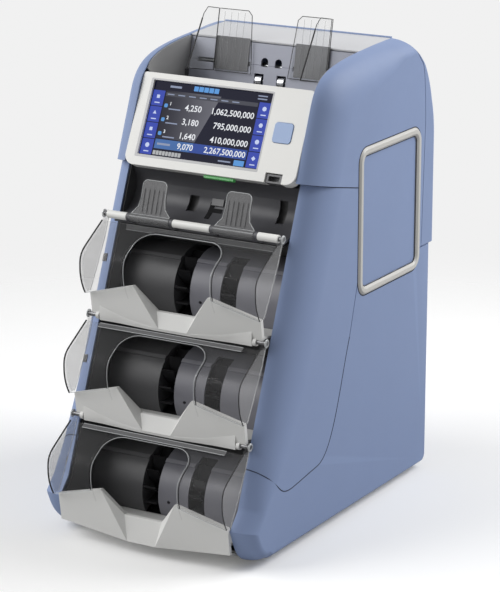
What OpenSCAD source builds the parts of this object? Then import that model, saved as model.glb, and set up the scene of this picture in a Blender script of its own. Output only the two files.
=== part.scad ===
// Desktop banknote counter and sorter with a feed hopper, a tilted touch screen,
// a reject pocket and three stacker pockets under hinged smoked visors.
// Side-view places are [d, h]: d is forward of the rear face, h is above the covers' underside.

/* [Body] */
// Clear width of the bay between the side covers
bay_w = 220; // [214:1:228]
// How far each side cover stands out past the bay
cover_t = 27; // [24:1:30]
// Wall of the moulded covers
wall = 2.5; // [2:0.1:3]
// Height of the covers over their underside
body_h = 523; // [519:1:529]
// Thickness of the steel side frames
frame_t = 2; // [1.5:0.1:2.5]
// Lean of the pocket front from the vertical, in degrees
front_lean = 21.9; // [21.5:0.1:22.3]
// Softness of the rolled front edge of the side covers
front_roll = 50; // [40:1:54]
// Gap along the seams between covers
seam_gap = 0.8; // [0.6:0.1:1.2]
// How far the rear hood stands out behind the lower rear face
hood_step = 14.5; // [13:0.5:17]
// Height of the rubber feet
foot_h = 4; // [3:0.5:8]
// Diameter of the rubber feet
foot_d = 24; // [18:1:30]

/* [Side trim] */
// Length of the grey trim ring along the side
ring_l = 151; // [146:1:153]
// Height of the grey trim ring
ring_h = 171; // [165:1:174]
// Width of the trim ring's band
ring_w = 10.5; // [8:0.5:13]
// Corner radius of the trim ring
ring_r = 18; // [15:1:22]
// How far the trim ring stands proud of the cover
ring_proud = 2.5; // [1:0.5:4]

/* [Pockets] */
// Drop from one pocket to the next
pocket_rise = 107.3; // [105:0.1:109]
// Step forward from one pocket to the next
pocket_step = 34.8; // [34:0.1:36]
// Height of the lowest tray's two peaks
low_tray_h = 67; // [65:0.1:69]
// Distance of the top tray's peaks from the rear face
tray_d = 358.5; // [357:0.1:361]
// Forward lean of the tray lips, in degrees
lip_lean = 8.4; // [7:0.1:10]
// How far each half of a lip turns back towards its end, in degrees
lip_splay = 4.9; // [4:0.1:6]
// Thickness of the tray lips
lip_t = 5; // [4:0.5:6]
// Half distance between a tray's two peaks
peak_x = 47.8; // [44:0.1:52]
// Half width of the finger notch at its floor
notch_x = 24; // [20:0.5:27]
// Depth of the finger notch below the peaks
notch_drop = 28.5; // [26:0.1:32]
// Drop of the lip from its peaks to its ends
end_drop = 18.3; // [16:0.1:21]
// Radius of the rounded stacker guides
guide_r = 47; // [46:0.5:48]
// Radius to the tips of the stacker wheel blades
wheel_r = 38; // [36.5:0.5:39]
// Width of each stacker wheel
wheel_w = 16; // [12:1:18]
// Half distance between the two stacker wheels
wheel_x = 30; // [28:1:36]
// Number of blades on a stacker wheel
blades = 12; // [8:1:14]
// Diameter of the stacker shafts
shaft_d = 8; // [6:0.5:9]

/* [Visors] */
// Reach of a visor forward of its hinge
visor_reach = 54.4; // [53:0.2:57]
// Thickness of the visor moulding
visor_t = 2; // [1.6:0.1:2.4]
// Width of the arch cut in the visor
arch_w = 111; // [100:1:120]
// Diameter of the hinge rods
rod_d = 5; // [4:0.5:6]
// Height of the reject fingers
finger_l = 43.5; // [38:0.5:46]

/* [Display] */
// Width of the bezel between the screen and its right end
bezel_side = 50.3; // [47:0.1:53]
// Visible height of the screen
screen_h = 86; // [82:0.5:88]
// Tilt of the display from the vertical, in degrees
tilt = 25.7; // [25:0.1:26.4]
// Height of the display bezel along its face
bezel_h = 107; // [104:0.5:109]
// Depth of the display bezel
bezel_t = 14; // [11:0.5:16]
// Side of the square start button
button_w = 23; // [18:0.5:26]
// Travel of the start button
button_travel = 1.5; // [1:0.1:2]

/* [Hopper] */
// Lean of the hopper back wall, in degrees
wall_lean = 12; // [11:0.5:13]
// Distance of the hopper back wall from the rear face
hopper_d = 139.5; // [138:0.5:141]
// Height of the clear note guides
guide_h = 71; // [60:1:80]
// Width of the clear note guides
guide_w = 44; // [38:1:48]
// Thickness of the clear note guides
guide_t = 2; // [1.5:0.1:2.5]
// Diameter of the pick-up rollers
pickup_d = 30; // [26:1:32]
// Diameter of the chromed gate rollers
gate_d = 14; // [12:0.5:16]

/* [Hidden] */
$fn = 48;

// Fits and clearances
run_gap = 0.05;
slip = 0.3;
touch = 0.2;
base_t = 2;
eps = 0.01;

// Widths
hw = bay_w / 2;
fi = hw - frame_t;
xr = hw + cover_t;

// Places along the pockets, for pocket k counted from the top
hinge_back = 47;
hinge_rise = 63;
axle_back = 119.5;
axle_drop = 26.6;
tray_h = low_tray_h + 2 * pocket_rise;
function peak(k) = [tray_d + k * pocket_step, tray_h - k * pocket_rise];
function hinge(k) = peak(k) + [-hinge_back, hinge_rise];
function axle(k) = peak(k) + [-axle_back, -axle_drop];
wheel_shift = [12, 5];
function spindle(k) = axle(k) + wheel_shift;
rear_y = (hinge(2)[0] + visor_reach - hood_step) / 2;

// The front line of the lower covers and the chin below it
chin_top = [400, 62.4];
chin_tip = [416.5, 44.5];
chin_end = [372, 0];
function front_d(h) = chin_top[0] - (h - chin_top[1]) * tan(front_lean);

// The side trim's loop, given by its middle
ring_c = [107, 335.4];
ring_lo = ring_c - [ring_l, ring_h] / 2;
ring_hi = ring_c + [ring_l, ring_h] / 2;

// Seams between the covers
upper_proud = 11.5;
seam_h = body_h - 125;
seam_drop = 20.5;
upper_seam = [[front_d(seam_h) + upper_proud, seam_h], [ring_hi[0], seam_h - seam_drop]];
seam_rise = seam_drop / (upper_seam[0][0] - upper_seam[1][0]);
front_top_h = seam_h - upper_proud * seam_rise / (1 + seam_rise * tan(front_lean));
seam_low = [346, spindle(2)[1] + 23.6];
front_seam = concat(
    [[ring_hi[0], ring_lo[1] + ring_r]],
    bez([seam_low + [-146, 141], seam_low + [-125, 92], seam_low + [-110, 17], seam_low + [-75, 10.5]], 8),
    [seam_low, [front_d(seam_low[1] + 36), seam_low[1] + 36]]
);
front_taper = [[0, 0.6], [25, 0.76], [60, 0.9], [100, 1]];
hood_low = 274;
hood_edge = ring_lo[0] - 5.5;
hood_top = [57.5, body_h];
hood_corner = hood_top - [28.5, 31];
hood_seam = concat(
    [hood_top],
    bez([
        hood_corner,
        hood_corner - [4.5, 5.5],
        [hood_edge - 5, body_h - 61],
        [hood_edge - 6, body_h - 103]
    ], 5),
    [[hood_edge, hood_low]]
);

// Curve of the covers' upper front and top edge
top_front = [front_d(body_h - 48) + upper_proud, body_h - 48];
top_back = [hopper_d + 0.5, body_h - 3.2];
top_curve = bez([
    top_front,
    top_front + 34 * [-sin(front_lean), cos(front_lean)],
    top_back + [75, -5.2],
    top_back
], 10);
top_roll = 38;

// The rolled edges of cover and hood run down the hood's seam by the same length
seam_run = 26;
top_rear_roll = seam_run * sine_between([-1, 0], hood_corner - hood_top);

// The display, placed by the lower edge of its screen
screen_at = [front_d(seam_h) + 6.9, body_h - 116.3];
screen_left = 15.7;
screen_w = bay_w - screen_left - bezel_side;
bezel_proud = 3;
bezel_below = 12.8;
bezel_r = 12;
bezel_top_r = 4;
button_x = hw - 27.7;
button_y = 43.5;
usb_x = hw - 27.3;

// The hopper, placed by the slot line of its back wall
wall_at = [hopper_d, body_h - 30.2];
wall_up = 26;
wall_down = 27;
gate_x = 14.6;
gate_w = 8;
gate_at = wall_at + (gate_d / 2 - 2) * [-cos(wall_lean), -sin(wall_lean)]
    + 17.5 * [sin(wall_lean), -cos(wall_lean)];
gate_shaft_d = 4;
floor_rear = wall_at + [6, -26];
floor_front = screen_at + [-50.5, 74.5];
pickup_d_at = (floor_rear[0] + floor_front[0]) / 2 + 4.5;
function floor_h(d) = floor_rear[1]
    + (d - floor_rear[0]) * (floor_front[1] - floor_rear[1]) / (floor_front[0] - floor_rear[0]);
pickup_at = [pickup_d_at, floor_h(pickup_d_at) + 1.5 - pickup_d / 2];
rail_d = 6;
rail_at = wall_at - (wall + 7) * [cos(wall_lean), sin(wall_lean)];

// Hinge of the rear hood
hood_pivot = [7 - hood_step, hood_low + 1];
hood_pin_d = 5;

// Curves

// Cubic curve with four control points: its point at t, and its points in n steps
function bez_at(p, t) = let (s = 1 - t)
    s * s * s * p[0] + 3 * s * s * t * p[1] + 3 * s * t * t * p[2] + t * t * t * p[3];
function bez(p, n) = [for (i = [0:n]) bez_at(p, i / n)];

// Points of an arc
function arc(c, r, a, b, n) = [for (i = [0:n]) let (t = a + (b - a) * i / n) c + r * [cos(t), sin(t)]];

// Sine of the angle between two directions
function sine_between(a, b) = abs(a[0] * b[1] - a[1] * b[0]) / norm(a) / norm(b);

// Left-hand normal of a step
function left_of(a, b) = let (t = b - a) [-t[1], t[0]] / norm(t);

// Move of a corner whose two sides shift left by da and db
function corner_move(n, m, da, db) = let (turn = n[0] * m[1] - n[1] * m[0], mid = n + m)
    abs(turn) < 0.3 && n * m > 0 ? mid / norm(mid) * (da + db) / 2
        : [da * m[1] - db * n[1], db * n[0] - da * m[0]] / turn;

// A closed outline whose side i moves left by e[i]
function inset(o, e) = [for (i = [0:len(o) - 1])
    let (j = (i + len(o) - 1) % len(o), k = (i + 1) % len(o))
    o[i] + corner_move(left_of(o[j], o[i]), left_of(o[i], o[k]), e[j], e[i])];

// The outline of a strip of thickness t to the left of an open path
function strip(p, t) = let (last = len(p) - 1) concat(p, [for (i = [last:-1:0]) p[i] + (
    i == 0 ? t * left_of(p[0], p[1])
        : i == last ? t * left_of(p[last - 1], p[last])
        : corner_move(left_of(p[i - 1], p[i]), left_of(p[i], p[i + 1]), t, t) * (1 + pow(tan(
            acos(min(1, left_of(p[i - 1], p[i]) * left_of(p[i], p[i + 1]))) / 2), 2) / 2))]);

function flat_list(l) = [for (a = l) each a];
function pair_list(l) = [for (p = l) [p[0], p[1]]];
function with_roll(l, r) = [for (p = l) [p[0], p[1], r]];
function swapped(l, first, given) = [for (i = [0:len(l) - 1])
    i >= first && i < first + len(given) ? given[i - first] : l[i]];

// Placing

// Puts children drawn at [d, h] across the bay, w wide and centred on x
module across(w, x = 0) {
    translate([x, rear_y, foot_h])
        mirror([0, 1, 0])
            rotate([90, 0, 90])
                linear_extrude(w, center = true)
                    children();
}

// Puts children at a side-view place
module at(p, x = 0) {
    translate([x, rear_y - p[0], foot_h + p[1]])
        children();
}

// A round bar across the bay at a side-view place
module bar(p, dia, w, x = 0) {
    at(p, x)
        rotate([0, 90, 0])
            cylinder(d = dia, h = w, center = true);
}

// Children on the display face: x across, y up the face, z out of it
module on_screen() {
    at(screen_at)
        rotate([90 - tilt, 0, 0])
            children();
}

// Children on the hopper back wall: x across, y up the wall, z towards the notes
module on_wall() {
    at(wall_at)
        rotate([90 - wall_lean, 0, 0])
            children();
}

// A rectangle with true round corners, from its lower left corner
module rounded(size, r) {
    translate([r, 0])
        square([size[0] - 2 * r, size[1]]);
    translate([0, r])
        square([size[0], size[1] - 2 * r]);
    for (x = [r, size[0] - r], y = [r, size[1] - r])
        translate([x, y])
            circle(r);
}

// Moulded side covers

// One closed skin of triangles over a grid of rings, each ring one list of points
function ring_faces(rows, n, first) = flat_list([for (k = [0:rows - 2], i = [0:n - 1])
    let (j = (i + 1) % n, a = first + k * n, b = a + n)
    [[b + j, b + i, a + i], [b + j, a + i, a + j]]]);
function flipped(faces) = [for (f = faces) [f[2], f[1], f[0]]];

// Triangles that fill a flat outline q, cut off one corner at a time from the list l
function turn(a, b, c) = (b[0] - a[0]) * (c[1] - a[1]) - (b[1] - a[1]) * (c[0] - a[0]);
function holds(p, a, b, c) = turn(a, b, p) >= 0 && turn(b, c, p) >= 0 && turn(c, a, p) >= 0;
function trio(l, i) = let (n = len(l)) [l[(i + n - 1) % n], l[i], l[(i + 1) % n]];
function is_ear(q, l, i) = let (t = trio(l, i), a = q[t[0]], b = q[t[1]], c = q[t[2]])
    turn(a, b, c) > 0
        && len([for (j = l) if (j != t[0] && j != t[1] && j != t[2] && holds(q[j], a, b, c)) j]) == 0;
function first_ear(q, l, i = 0) = i == len(l) - 1 || is_ear(q, l, i) ? i : first_ear(q, l, i + 1);
function fill(q, l) = len(l) < 4 ? [l] : let (e = first_ear(q, l))
    concat([trio(l, e)], fill(q, [for (j = [0:len(l) - 1]) if (j != e) l[j]]));

// A dished shell on the outside of the right frame. Each corner of the outline is
// [d, h, roll], and roll is how far the side that starts there leans in as it rounds over.
module dished_shell(outline, first = 0, turn = [], steps = 6, inner_steps = 2) {
    roll = [for (p = outline) p[2]];
    edge = inset(pair_list(outline), [for (r = roll) r < 2 ? seam_gap / 2 : 0]);
    n = len(edge);
    flat = swapped(inset(edge, roll), first, turn);
    inner_edge = inset(edge, [for (r = roll) wall]);
    inner_flat = swapped(inset(edge, [for (r = roll) max(r, wall)]), first, turn);
    outer = [for (k = [0:steps]) let (a = 90 * k / steps)
        for (p = edge + (1 - cos(a)) * (flat - edge))
            [hw + cover_t * sin(a), rear_y - p[0], foot_h + p[1]]];
    inner = [for (k = [0:inner_steps]) let (a = 90 * k / inner_steps)
        for (p = inner_edge + (1 - cos(a)) * (inner_flat - inner_edge))
            [hw + (cover_t - wall) * sin(a), rear_y - p[0], foot_h + p[1]]];
    base = len(outer);
    rim = flat_list([for (i = [0:n - 1]) let (j = (i + 1) % n)
        [[j, i, base + i], [j, base + i, base + j]]]);
    order = [for (i = [0:n - 1]) i];
    top = steps * n * [1, 1, 1];
    under = (base + inner_steps * n) * [1, 1, 1];
    caps = concat(
        [for (f = fill(flat, order)) f + top],
        [for (f = fill(inner_flat, order)) [f[2], f[1], f[0]] + under]
    );
    polyhedron(concat(outer, inner), concat(
        ring_faces(steps + 1, n, 0),
        flipped(ring_faces(inner_steps + 1, n, base)),
        rim,
        caps
    ));
}

// Corner of the trim loop, a quarter turn from angle a, as cover outline points
function ring_corner(sx, sy, a, b) = arc(
    ring_c + [sx * (ring_l / 2 - ring_r), sy * (ring_h / 2 - ring_r)], ring_r, a, b, 4);

module upper_cover() {
    turn_start = top_front - front_roll * [cos(front_lean), sin(front_lean)];
    turn_end = top_back - [2.6, top_roll];
    turn = bez([
        turn_start,
        turn_start + 13 * [-sin(front_lean), cos(front_lean)],
        turn_end + [34, -2.4],
        turn_end
    ], 10);
    dished_shell(concat(
        with_roll([upper_seam[1]], 1),
        [[upper_seam[0][0], upper_seam[0][1], front_roll]],
        with_roll([for (i = [0:4]) top_curve[i]], front_roll),
        [for (i = [5:10]) let (r = front_roll + (top_roll - front_roll) * (i - 5) / 5)
            [top_curve[i][0], top_curve[i][1], r]],
        [[98, body_h - 1, (top_roll + top_rear_roll) / 2], [78, body_h - 0.5, top_rear_roll]],
        with_roll(hood_seam, 1),
        with_roll([[ring_lo[0], hood_low]], 1),
        with_roll(ring_corner(-1, 1, 180, 90), 1),
        with_roll(ring_corner(1, 1, 90, 0), 1)
    ), 2, turn);
}

module front_cover() {
    last = len(front_seam) - 1;
    dished_shell(concat(
        with_roll([upper_seam[1]], 1),
        with_roll([for (i = [0:last - 1]) front_seam[i]], 1),
        [for (t = front_taper) let (h = front_seam[last][1] + t[0]) [front_d(h), h, t[1] * front_roll]],
        [[front_d(front_top_h), front_top_h, 1]]
    ));
}

module base_cover() {
    last = len(front_seam) - 1;
    low_roll = 14;
    rear_roll = 7;
    rear_r = 14;
    chin_rise = front_seam[last][1] - chin_top[1];
    chin_taper = [[0, low_roll], [0.3, 18], [0.65, 24]];
    dished_shell(concat(
        with_roll(arc([rear_r, rear_r], rear_r, 180, 270, 4), rear_roll),
        with_roll(bez([chin_end, chin_end + [24, 0], chin_tip - [10, 28], chin_tip], 5), low_roll),
        [for (t = chin_taper) let (h = chin_top[1] + t[0] * chin_rise) [front_d(h), h, t[1]]],
        with_roll([for (i = [last:-1:1]) front_seam[i]], 1),
        with_roll(ring_corner(1, -1, 0, -90), 1),
        with_roll(ring_corner(-1, -1, 270, 180), 1),
        with_roll([[ring_lo[0], hood_low]], 1),
        [[0, hood_low, rear_roll]]
    ));
}

module right_upper_cover() {
    color("#8296be")
        upper_cover();
}

module left_upper_cover() {
    color("#8296be")
        mirror([1, 0, 0])
            upper_cover();
}

module right_front_cover() {
    color("#8296be")
        front_cover();
}

module left_front_cover() {
    color("#8296be")
        mirror([1, 0, 0])
            front_cover();
}

module right_base_cover() {
    color("#8296be")
        base_cover();
}

module left_base_cover() {
    color("#8296be")
        mirror([1, 0, 0])
            base_cover();
}

// The grey ring: one bevelled profile carried round a rounded rectangle
ring_deep = 14;
ring_lip = 3;
insert_t = 2.5;
insert_sunk = 1;

module ring_profile() {
    proud = ring_proud;
    lip_top = -insert_sunk - insert_t;
    polygon([
        [ring_w - seam_gap / 2, -ring_deep],
        [ring_w - seam_gap / 2, 0],
        [ring_w - 3, proud],
        [3, proud],
        [0, 0],
        [0, lip_top],
        [-ring_lip, lip_top],
        [-ring_lip, -ring_deep]
    ]);
}

module trim_ring() {
    r = ring_r - ring_w;
    half = [ring_l / 2 - ring_r, ring_h / 2 - ring_r];
    at(ring_c, xr)
        rotate([90, 0, 90]) {
            for (s = [0, 180]) {
                rotate(s)
                    translate([half[0] + r, half[1], 0])
                        rotate([90, 0, 0])
                            linear_extrude(2 * half[1])
                                ring_profile();
                rotate(s)
                    translate([-half[0], half[1] + r, 0])
                        rotate([90, 0, 90])
                            linear_extrude(2 * half[0])
                                ring_profile();
            }
            for (a = [0:90:270]) {
                c = [a == 0 || a == 270 ? half[0] : -half[0], a < 180 ? half[1] : -half[1]];
                translate(c)
                    rotate(a)
                        rotate_extrude(angle = 90)
                            translate([r, 0])
                                ring_profile();
            }
        }
}

module insert_panel() {
    gap = touch;
    size = [ring_l - 2 * ring_w - 2 * gap, ring_h - 2 * ring_w - 2 * gap];
    at(ring_c, xr - insert_sunk - insert_t)
        rotate([90, 0, 90])
            translate(-size / 2)
                linear_extrude(insert_t)
                    rounded(size, ring_r - ring_w - gap);
}

module right_trim_ring() {
    color("#bebcb6")
        trim_ring();
}

module left_trim_ring() {
    color("#bebcb6")
        mirror([1, 0, 0])
            trim_ring();
}

module right_insert_panel() {
    color("#8296be")
        insert_panel();
}

module left_insert_panel() {
    color("#8296be")
        mirror([1, 0, 0])
            insert_panel();
}

// Rear hood

hood_roll = 14;
hood_curve = [hood_top, [12, body_h - 26], [-hood_step, body_h - 68], [-hood_step, body_h - 123]];
hood_back = concat([hood_top], [for (i = [0:7]) bez_at(hood_curve, 0.2 + 0.8 * i / 7)]);
hood_last = len(hood_back);
hood_rim = concat(
    hood_back,
    [[-hood_step, hood_low]],
    [for (i = [len(hood_seam) - 1:-1:1]) hood_seam[i]]
);
hood_top_roll = seam_run * sine_between(hood_back[1] - hood_back[0], hood_corner - hood_top);

// The hood's outline where its edge has rolled through angle a, t inside its outer skin
function hood_loop(a, t) = inset(
    inset(hood_rim, [for (i = [0:len(hood_rim) - 1]) i < hood_last ? 0 : seam_gap / 2]),
    [for (i = [0:len(hood_rim) - 1])
        let (r = hood_top_roll + (hood_roll - hood_top_roll) * min(1, max(0, i - 2) / 3))
        i < hood_last ? t + (r - t) * (1 - cos(a)) : 0]);

// The hood's skin from its left side over the back to its right side
hood_turns = [90, 67.5, 45, 22.5, 0];
function hood_skin(t) = flat_list([
    for (a = hood_turns) [for (p = hood_loop(a, t)) side_point(p, -hw - (cover_t - t) * sin(a))],
    for (k = [4:-1:0]) let (x = hw + (cover_t - t) * sin(hood_turns[k]))
        [for (p = hood_loop(hood_turns[k], t)) side_point(p, x)]
]);
function side_point(p, x) = [x, rear_y - p[0], foot_h + p[1]];

// A sheet over the back of an outline of n points, open along its seam and its ends:
// the first m points lie along the back, and rows run from left to right
module hood_sheet(outer, inner, n, m) {
    rows = len(outer) / n;
    base = len(outer);
    end = (rows - 1) * n;
    flat = [for (p = hood_loop(90, 0)) p];
    side = fill(flat, [for (i = [0:n - 1]) i]);
    skin = concat(
        flat_list([for (k = [0:rows - 2], i = [0:m - 1]) let (a = k * n + i, b = a + n)
            [[b + 1, b, a], [b + 1, a, a + 1]]]),
        flipped(side),
        [for (f = side) f + end * [1, 1, 1]]
    );
    seam = [for (i = [m:n - 1]) [i, (i + 1) % n]];
    border = concat(
        [for (e = seam) [end + e[1], end + e[0]]],
        [for (e = seam) e],
        [for (k = [0:rows - 2]) [k * n, k * n + n]],
        [for (k = [0:rows - 2]) [k * n + n + m, k * n + m]]
    );
    polyhedron(concat(outer, inner), concat(
        skin,
        flipped([for (f = skin) f + base * [1, 1, 1]]),
        flat_list([for (e = border) [[e[0], e[1], base + e[1]], [e[0], base + e[1], base + e[0]]]])
    ));
}

module rear_hood() {
    boss_d = 11;
    boss_w = 12;
    pin_out = 1.5;
    pin_w = boss_w + slip + frame_t + pin_out;
    color("#8296be") {
        hood_sheet(hood_skin(0), hood_skin(wall), len(hood_rim), hood_last);
        for (s = [-1, 1]) {
            bar(hood_pivot, boss_d, boss_w, s * (fi - slip - boss_w / 2));
            bar(hood_pivot, hood_pin_d, pin_w, s * (hw + pin_out - pin_w / 2));
        }
    }
}

// Frame, base and rear

frame_edge = 3;
function side_low(d) = floor_h(d) - 2;
side_step = wall_at + [11, -11.5];

function frame_outline() = concat(
    [
        [frame_edge, 1],
        [chin_end[0], 1],
        chin_tip - [9, 4],
        chin_top - [frame_edge + 3, 0],
        [front_d(seam_h) - frame_edge, seam_h],
        screen_at + [-(bezel_t + 3), 0],
        [floor_front[0] - 3, side_low(floor_front[0])],
        [side_step[0], side_low(side_step[0])],
        side_step,
        [wall_at[0] - wall - 1, side_step[1]],
        wall_at + [-wall - 1 - wall_up * sin(wall_lean), wall_up - 5],
        [hood_top[0] + 4, body_h - 7],
        [30, body_h - 40],
        [22, body_h - 103],
        [22, hood_pivot[1] + 20]
    ],
    [[frame_edge, hood_low - 4]]
);

module side_frame() {
    hole_gap = 2 * run_gap;
    ear_r = 4.5;
    across_x = (hw + fi) / 2;
    difference() {
        union() {
            across(frame_t, across_x)
                polygon(frame_outline());
            across(frame_t, across_x)
                polygon([[hood_pivot[0], hood_low + 0.5], [30, hood_low + 0.5],
                    [30, hood_pivot[1] + ear_r], hood_pivot + [0, ear_r]]);
            bar(hood_pivot, 2 * ear_r, frame_t, across_x);
        }
        for (k = [0:2])
            bar(spindle(k), shaft_d + 4, frame_t + 1, across_x);
        bar(hood_pivot, hood_pin_d + hole_gap, frame_t + 1, across_x);
        bar(gate_at, gate_shaft_d + hole_gap, frame_t + 1, across_x);
        bar(pickup_at, shaft_d + hole_gap, frame_t + 1, across_x);
        bar(rail_at, rail_d, frame_t + 1, across_x);
        for (p = [[110, 390], [110, 200], [190, 120]])
            bar(p, 60, frame_t + 1, across_x);
    }
}

module right_frame() {
    color("#9a9ca0")
        side_frame();
}

module left_frame() {
    color("#9a9ca0")
        mirror([1, 0, 0])
            side_frame();
}

foot_x = hw - 26;
foot_places = [for (d = [38, 345], s = [-1, 1]) [d, s * foot_x]];

module base_plate() {
    flange_h = 16;
    long = [8, 368];
    color("#8d8f93") {
        difference() {
            translate([-fi, rear_y - long[1], foot_h])
                cube([2 * fi, long[1] - long[0], flange_h]);
            translate([-fi + base_t, rear_y - long[1] - 1, foot_h + base_t])
                cube([2 * (fi - base_t), long[1] - long[0] + 2, flange_h]);
            for (p = foot_places)
                at([p[0], -1], p[1])
                    cylinder(d = 4, h = base_t + 2);
            for (i = [0:6])
                translate([-45, rear_y - 150 - 14 * i, foot_h - 1])
                    cube([90, 5, base_t + 2]);
        }
    }
}

module feet() {
    color("#2b2b2d")
        for (p = foot_places)
            at([p[0], 0], p[1])
                mirror([0, 0, 1])
                    rotate_extrude()
                        polygon([[0, 0], [foot_d / 2, 0], [foot_d / 2, foot_h - 1], [foot_d / 2 - 1, foot_h],
                            [foot_d / 3, foot_h], [foot_d / 3 - 1, foot_h - 1], [0, foot_h - 1]]);
}

inlet_at = [-58, 36];
inlet_hole = [27.5, 20];
switch_at = [-22, 36];
switch_hole = [13.5, 20];
rear_low = 3;

// Children drawn on the rear face, x to the right seen from the front and y up
module on_rear(out = 0) {
    at([-out, 0])
        rotate([90, 0, 0])
            children();
}

module rear_panel() {
    slot = [46, 3.4];
    color("#7e92ba")
        on_rear()
            linear_extrude(wall)
                difference() {
                    translate([-hw + touch, rear_low])
                        square([bay_w - 2 * touch, hood_low - seam_gap - rear_low]);
                    translate(inlet_at - inlet_hole / 2)
                        square(inlet_hole);
                    translate(switch_at - switch_hole / 2)
                        square(switch_hole);
                    for (i = [0:11], s = [-1, 1])
                        translate([s * 34 - slot[0] / 2, 130 + 9 * i])
                            rounded(slot, slot[1] / 2 - eps);
                }
}

module mains_inlet() {
    flange = [34, 26];
    cavity = [24, 16];
    deep = 18;
    color("#232325") {
        on_rear(2)
            linear_extrude(2)
                difference() {
                    translate(inlet_at - flange / 2)
                        rounded(flange, 3);
                    translate(inlet_at - cavity / 2)
                        square(cavity);
                }
        on_rear()
            difference() {
                translate(concat(inlet_at - inlet_hole / 2 + [touch, touch], 0))
                    cube(concat(inlet_hole - 2 * [touch, touch], deep));
                translate(concat(inlet_at - cavity / 2, -1))
                    cube(concat(cavity, deep - 1));
            }
        for (p = [[-7, 1], [0, 5], [7, 1]])
            on_rear()
                translate(concat(inlet_at + p - [1, 2], 3))
                    cube([2, 4, deep - 3]);
    }
}

rocker_tip = 8;

module power_switch() {
    size = switch_hole - 2 * [slip, slip];
    deep = 5;
    color("#1c1c1e")
        at([-1, switch_at[1]], switch_at[0])
            rotate([90 + rocker_tip, 0, 0]) {
                rotate([0, 90, 0])
                    cylinder(d = 4, h = switch_hole[0] - 2 * touch, center = true);
                translate([-size[0] / 2, 1 - size[1] / 2, -1.5])
                    cube([size[0], size[1] - 2, deep - 1.5]);
            }
}

// Display

// Outline of the bezel, moved in by g, with its upper corners nearly square
module bezel_outline(g) {
    size = [bay_w - 2 * slip - 2 * g, bezel_h - 2 * g];
    low = bezel_r + 1;
    translate([-size[0] / 2, g - bezel_below]) {
        rounded(size, bezel_r - g);
        translate([0, low])
            rounded([size[0], size[1] - low], bezel_top_r - g);
    }
}

module display_bezel() {
    skin = 3;
    usb = [21, 11];
    color("#dedcd4")
        on_screen()
            difference() {
                translate([0, 0, bezel_proud - bezel_t])
                    linear_extrude(bezel_t)
                        bezel_outline(0);
                translate([0, 0, -bezel_t])
                    linear_extrude(bezel_t)
                        bezel_outline(skin);
                translate([screen_left - hw, 0, -eps])
                    cube([screen_w, screen_h, bezel_proud + 1]);
                translate([button_x - button_w / 2 - slip, button_y - button_w / 2 - slip, -1])
                    linear_extrude(bezel_proud + 2)
                        rounded([button_w + 2 * slip, button_w + 2 * slip], 4 + slip);
                translate([usb_x - usb[0] / 2, -bezel_below - 1, -bezel_t])
                    cube([usb[0], usb[1] + 1, 2 * bezel_t]);
            }
}

module display_screen() {
    rim = 4;
    thick = 3;
    color("#11142c")
        on_screen()
            translate([screen_left - hw - rim, -rim, -thick])
                cube([screen_w + 2 * rim, screen_h + 2 * rim, thick]);
}

module start_button() {
    cap = bezel_proud + 1 + button_travel;
    flange = 1.5;
    color("#96afdc")
        on_screen()
            translate([button_x - button_w / 2, button_y - button_w / 2, 0]) {
                translate([0, 0, bezel_proud + 1 - cap + eps])
                    linear_extrude(cap)
                        rounded([button_w, button_w], 4);
                translate([-flange, -flange, -flange - 0.4])
                    cube([button_w + 2 * flange, button_w + 2 * flange, flange]);
            }
}

module usb_socket() {
    size = [20.4, 10];
    mouth = [13, 5.4];
    deep = 10;
    color("#56575b")
        on_screen()
            translate([usb_x, touch - bezel_below, 1 - deep])
                difference() {
                    translate([-size[0] / 2, 0, 0])
                        cube([size[0], size[1], deep]);
                    translate([-mouth[0] / 2, 2.2, 2])
                        cube([mouth[0], mouth[1], deep]);
                }
}

module status_light() {
    size = [38, 3, 6];
    x = 12.4;
    color("#3d9a4a")
        on_screen()
            translate([x - size[0] / 2, -bezel_below - size[1] - touch / 2, -size[2] - 2])
                cube(size);
}

// Hopper and top

module top_cover() {
    run = [[hood_top[0] - 1, body_h], [98, body_h - 1], wall_at + [-0.7 - wall_up * sin(wall_lean), 27.2]];
    color("#d6d4cc")
        across(bay_w - 2 * touch)
            polygon(strip(run, -wall));
}

module hopper_back_plate() {
    slot = [70, 5];
    slot_x = 28;
    half = fi - touch / 2;
    window = [gate_w + 4, gate_d + 2];
    arch_x = 9;
    arch_d = 9;
    color("#969baa")
        on_wall()
            difference() {
                translate([-half, -wall_down, -wall])
                    cube([2 * half, wall_down + wall_up - 5 * touch, wall]);
                for (s = [-1, 1]) {
                    translate([s * (slot_x + slot[0] / 2) - slot[0] / 2, -slot[1] / 2, -wall - 1])
                        cube([slot[0], slot[1], wall + 2]);
                    translate([s * gate_x - window[0] / 2, -17.5 - window[1] / 2, -wall - 1])
                        cube([window[0], window[1], wall + 2]);
                    translate([s * arch_x, arch_d / 2, -wall - 1])
                        cylinder(d = arch_d, h = wall + 2);
                    translate([s * arch_x - arch_d / 2, -1, -wall - 1])
                        cube([arch_d, arch_d / 2 + 1, wall + 2]);
                }
                translate([-half - 1, -0.5, -0.8])
                    cube([2 * half + 2, 1, 2]);
            }
}

pickup_xs = [-70, -35, 35, 70];
pickup_w = 14;

module hopper_floor() {
    run = [floor_rear, floor_front];
    gap = 2;
    color("#3c3c3f")
        difference() {
            across(2 * (fi - touch))
                polygon(strip(run, -wall));
            for (x = pickup_xs)
                bar(pickup_at, pickup_d + 2 * gap, pickup_w + 2 * gap, x);
        }
}

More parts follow.
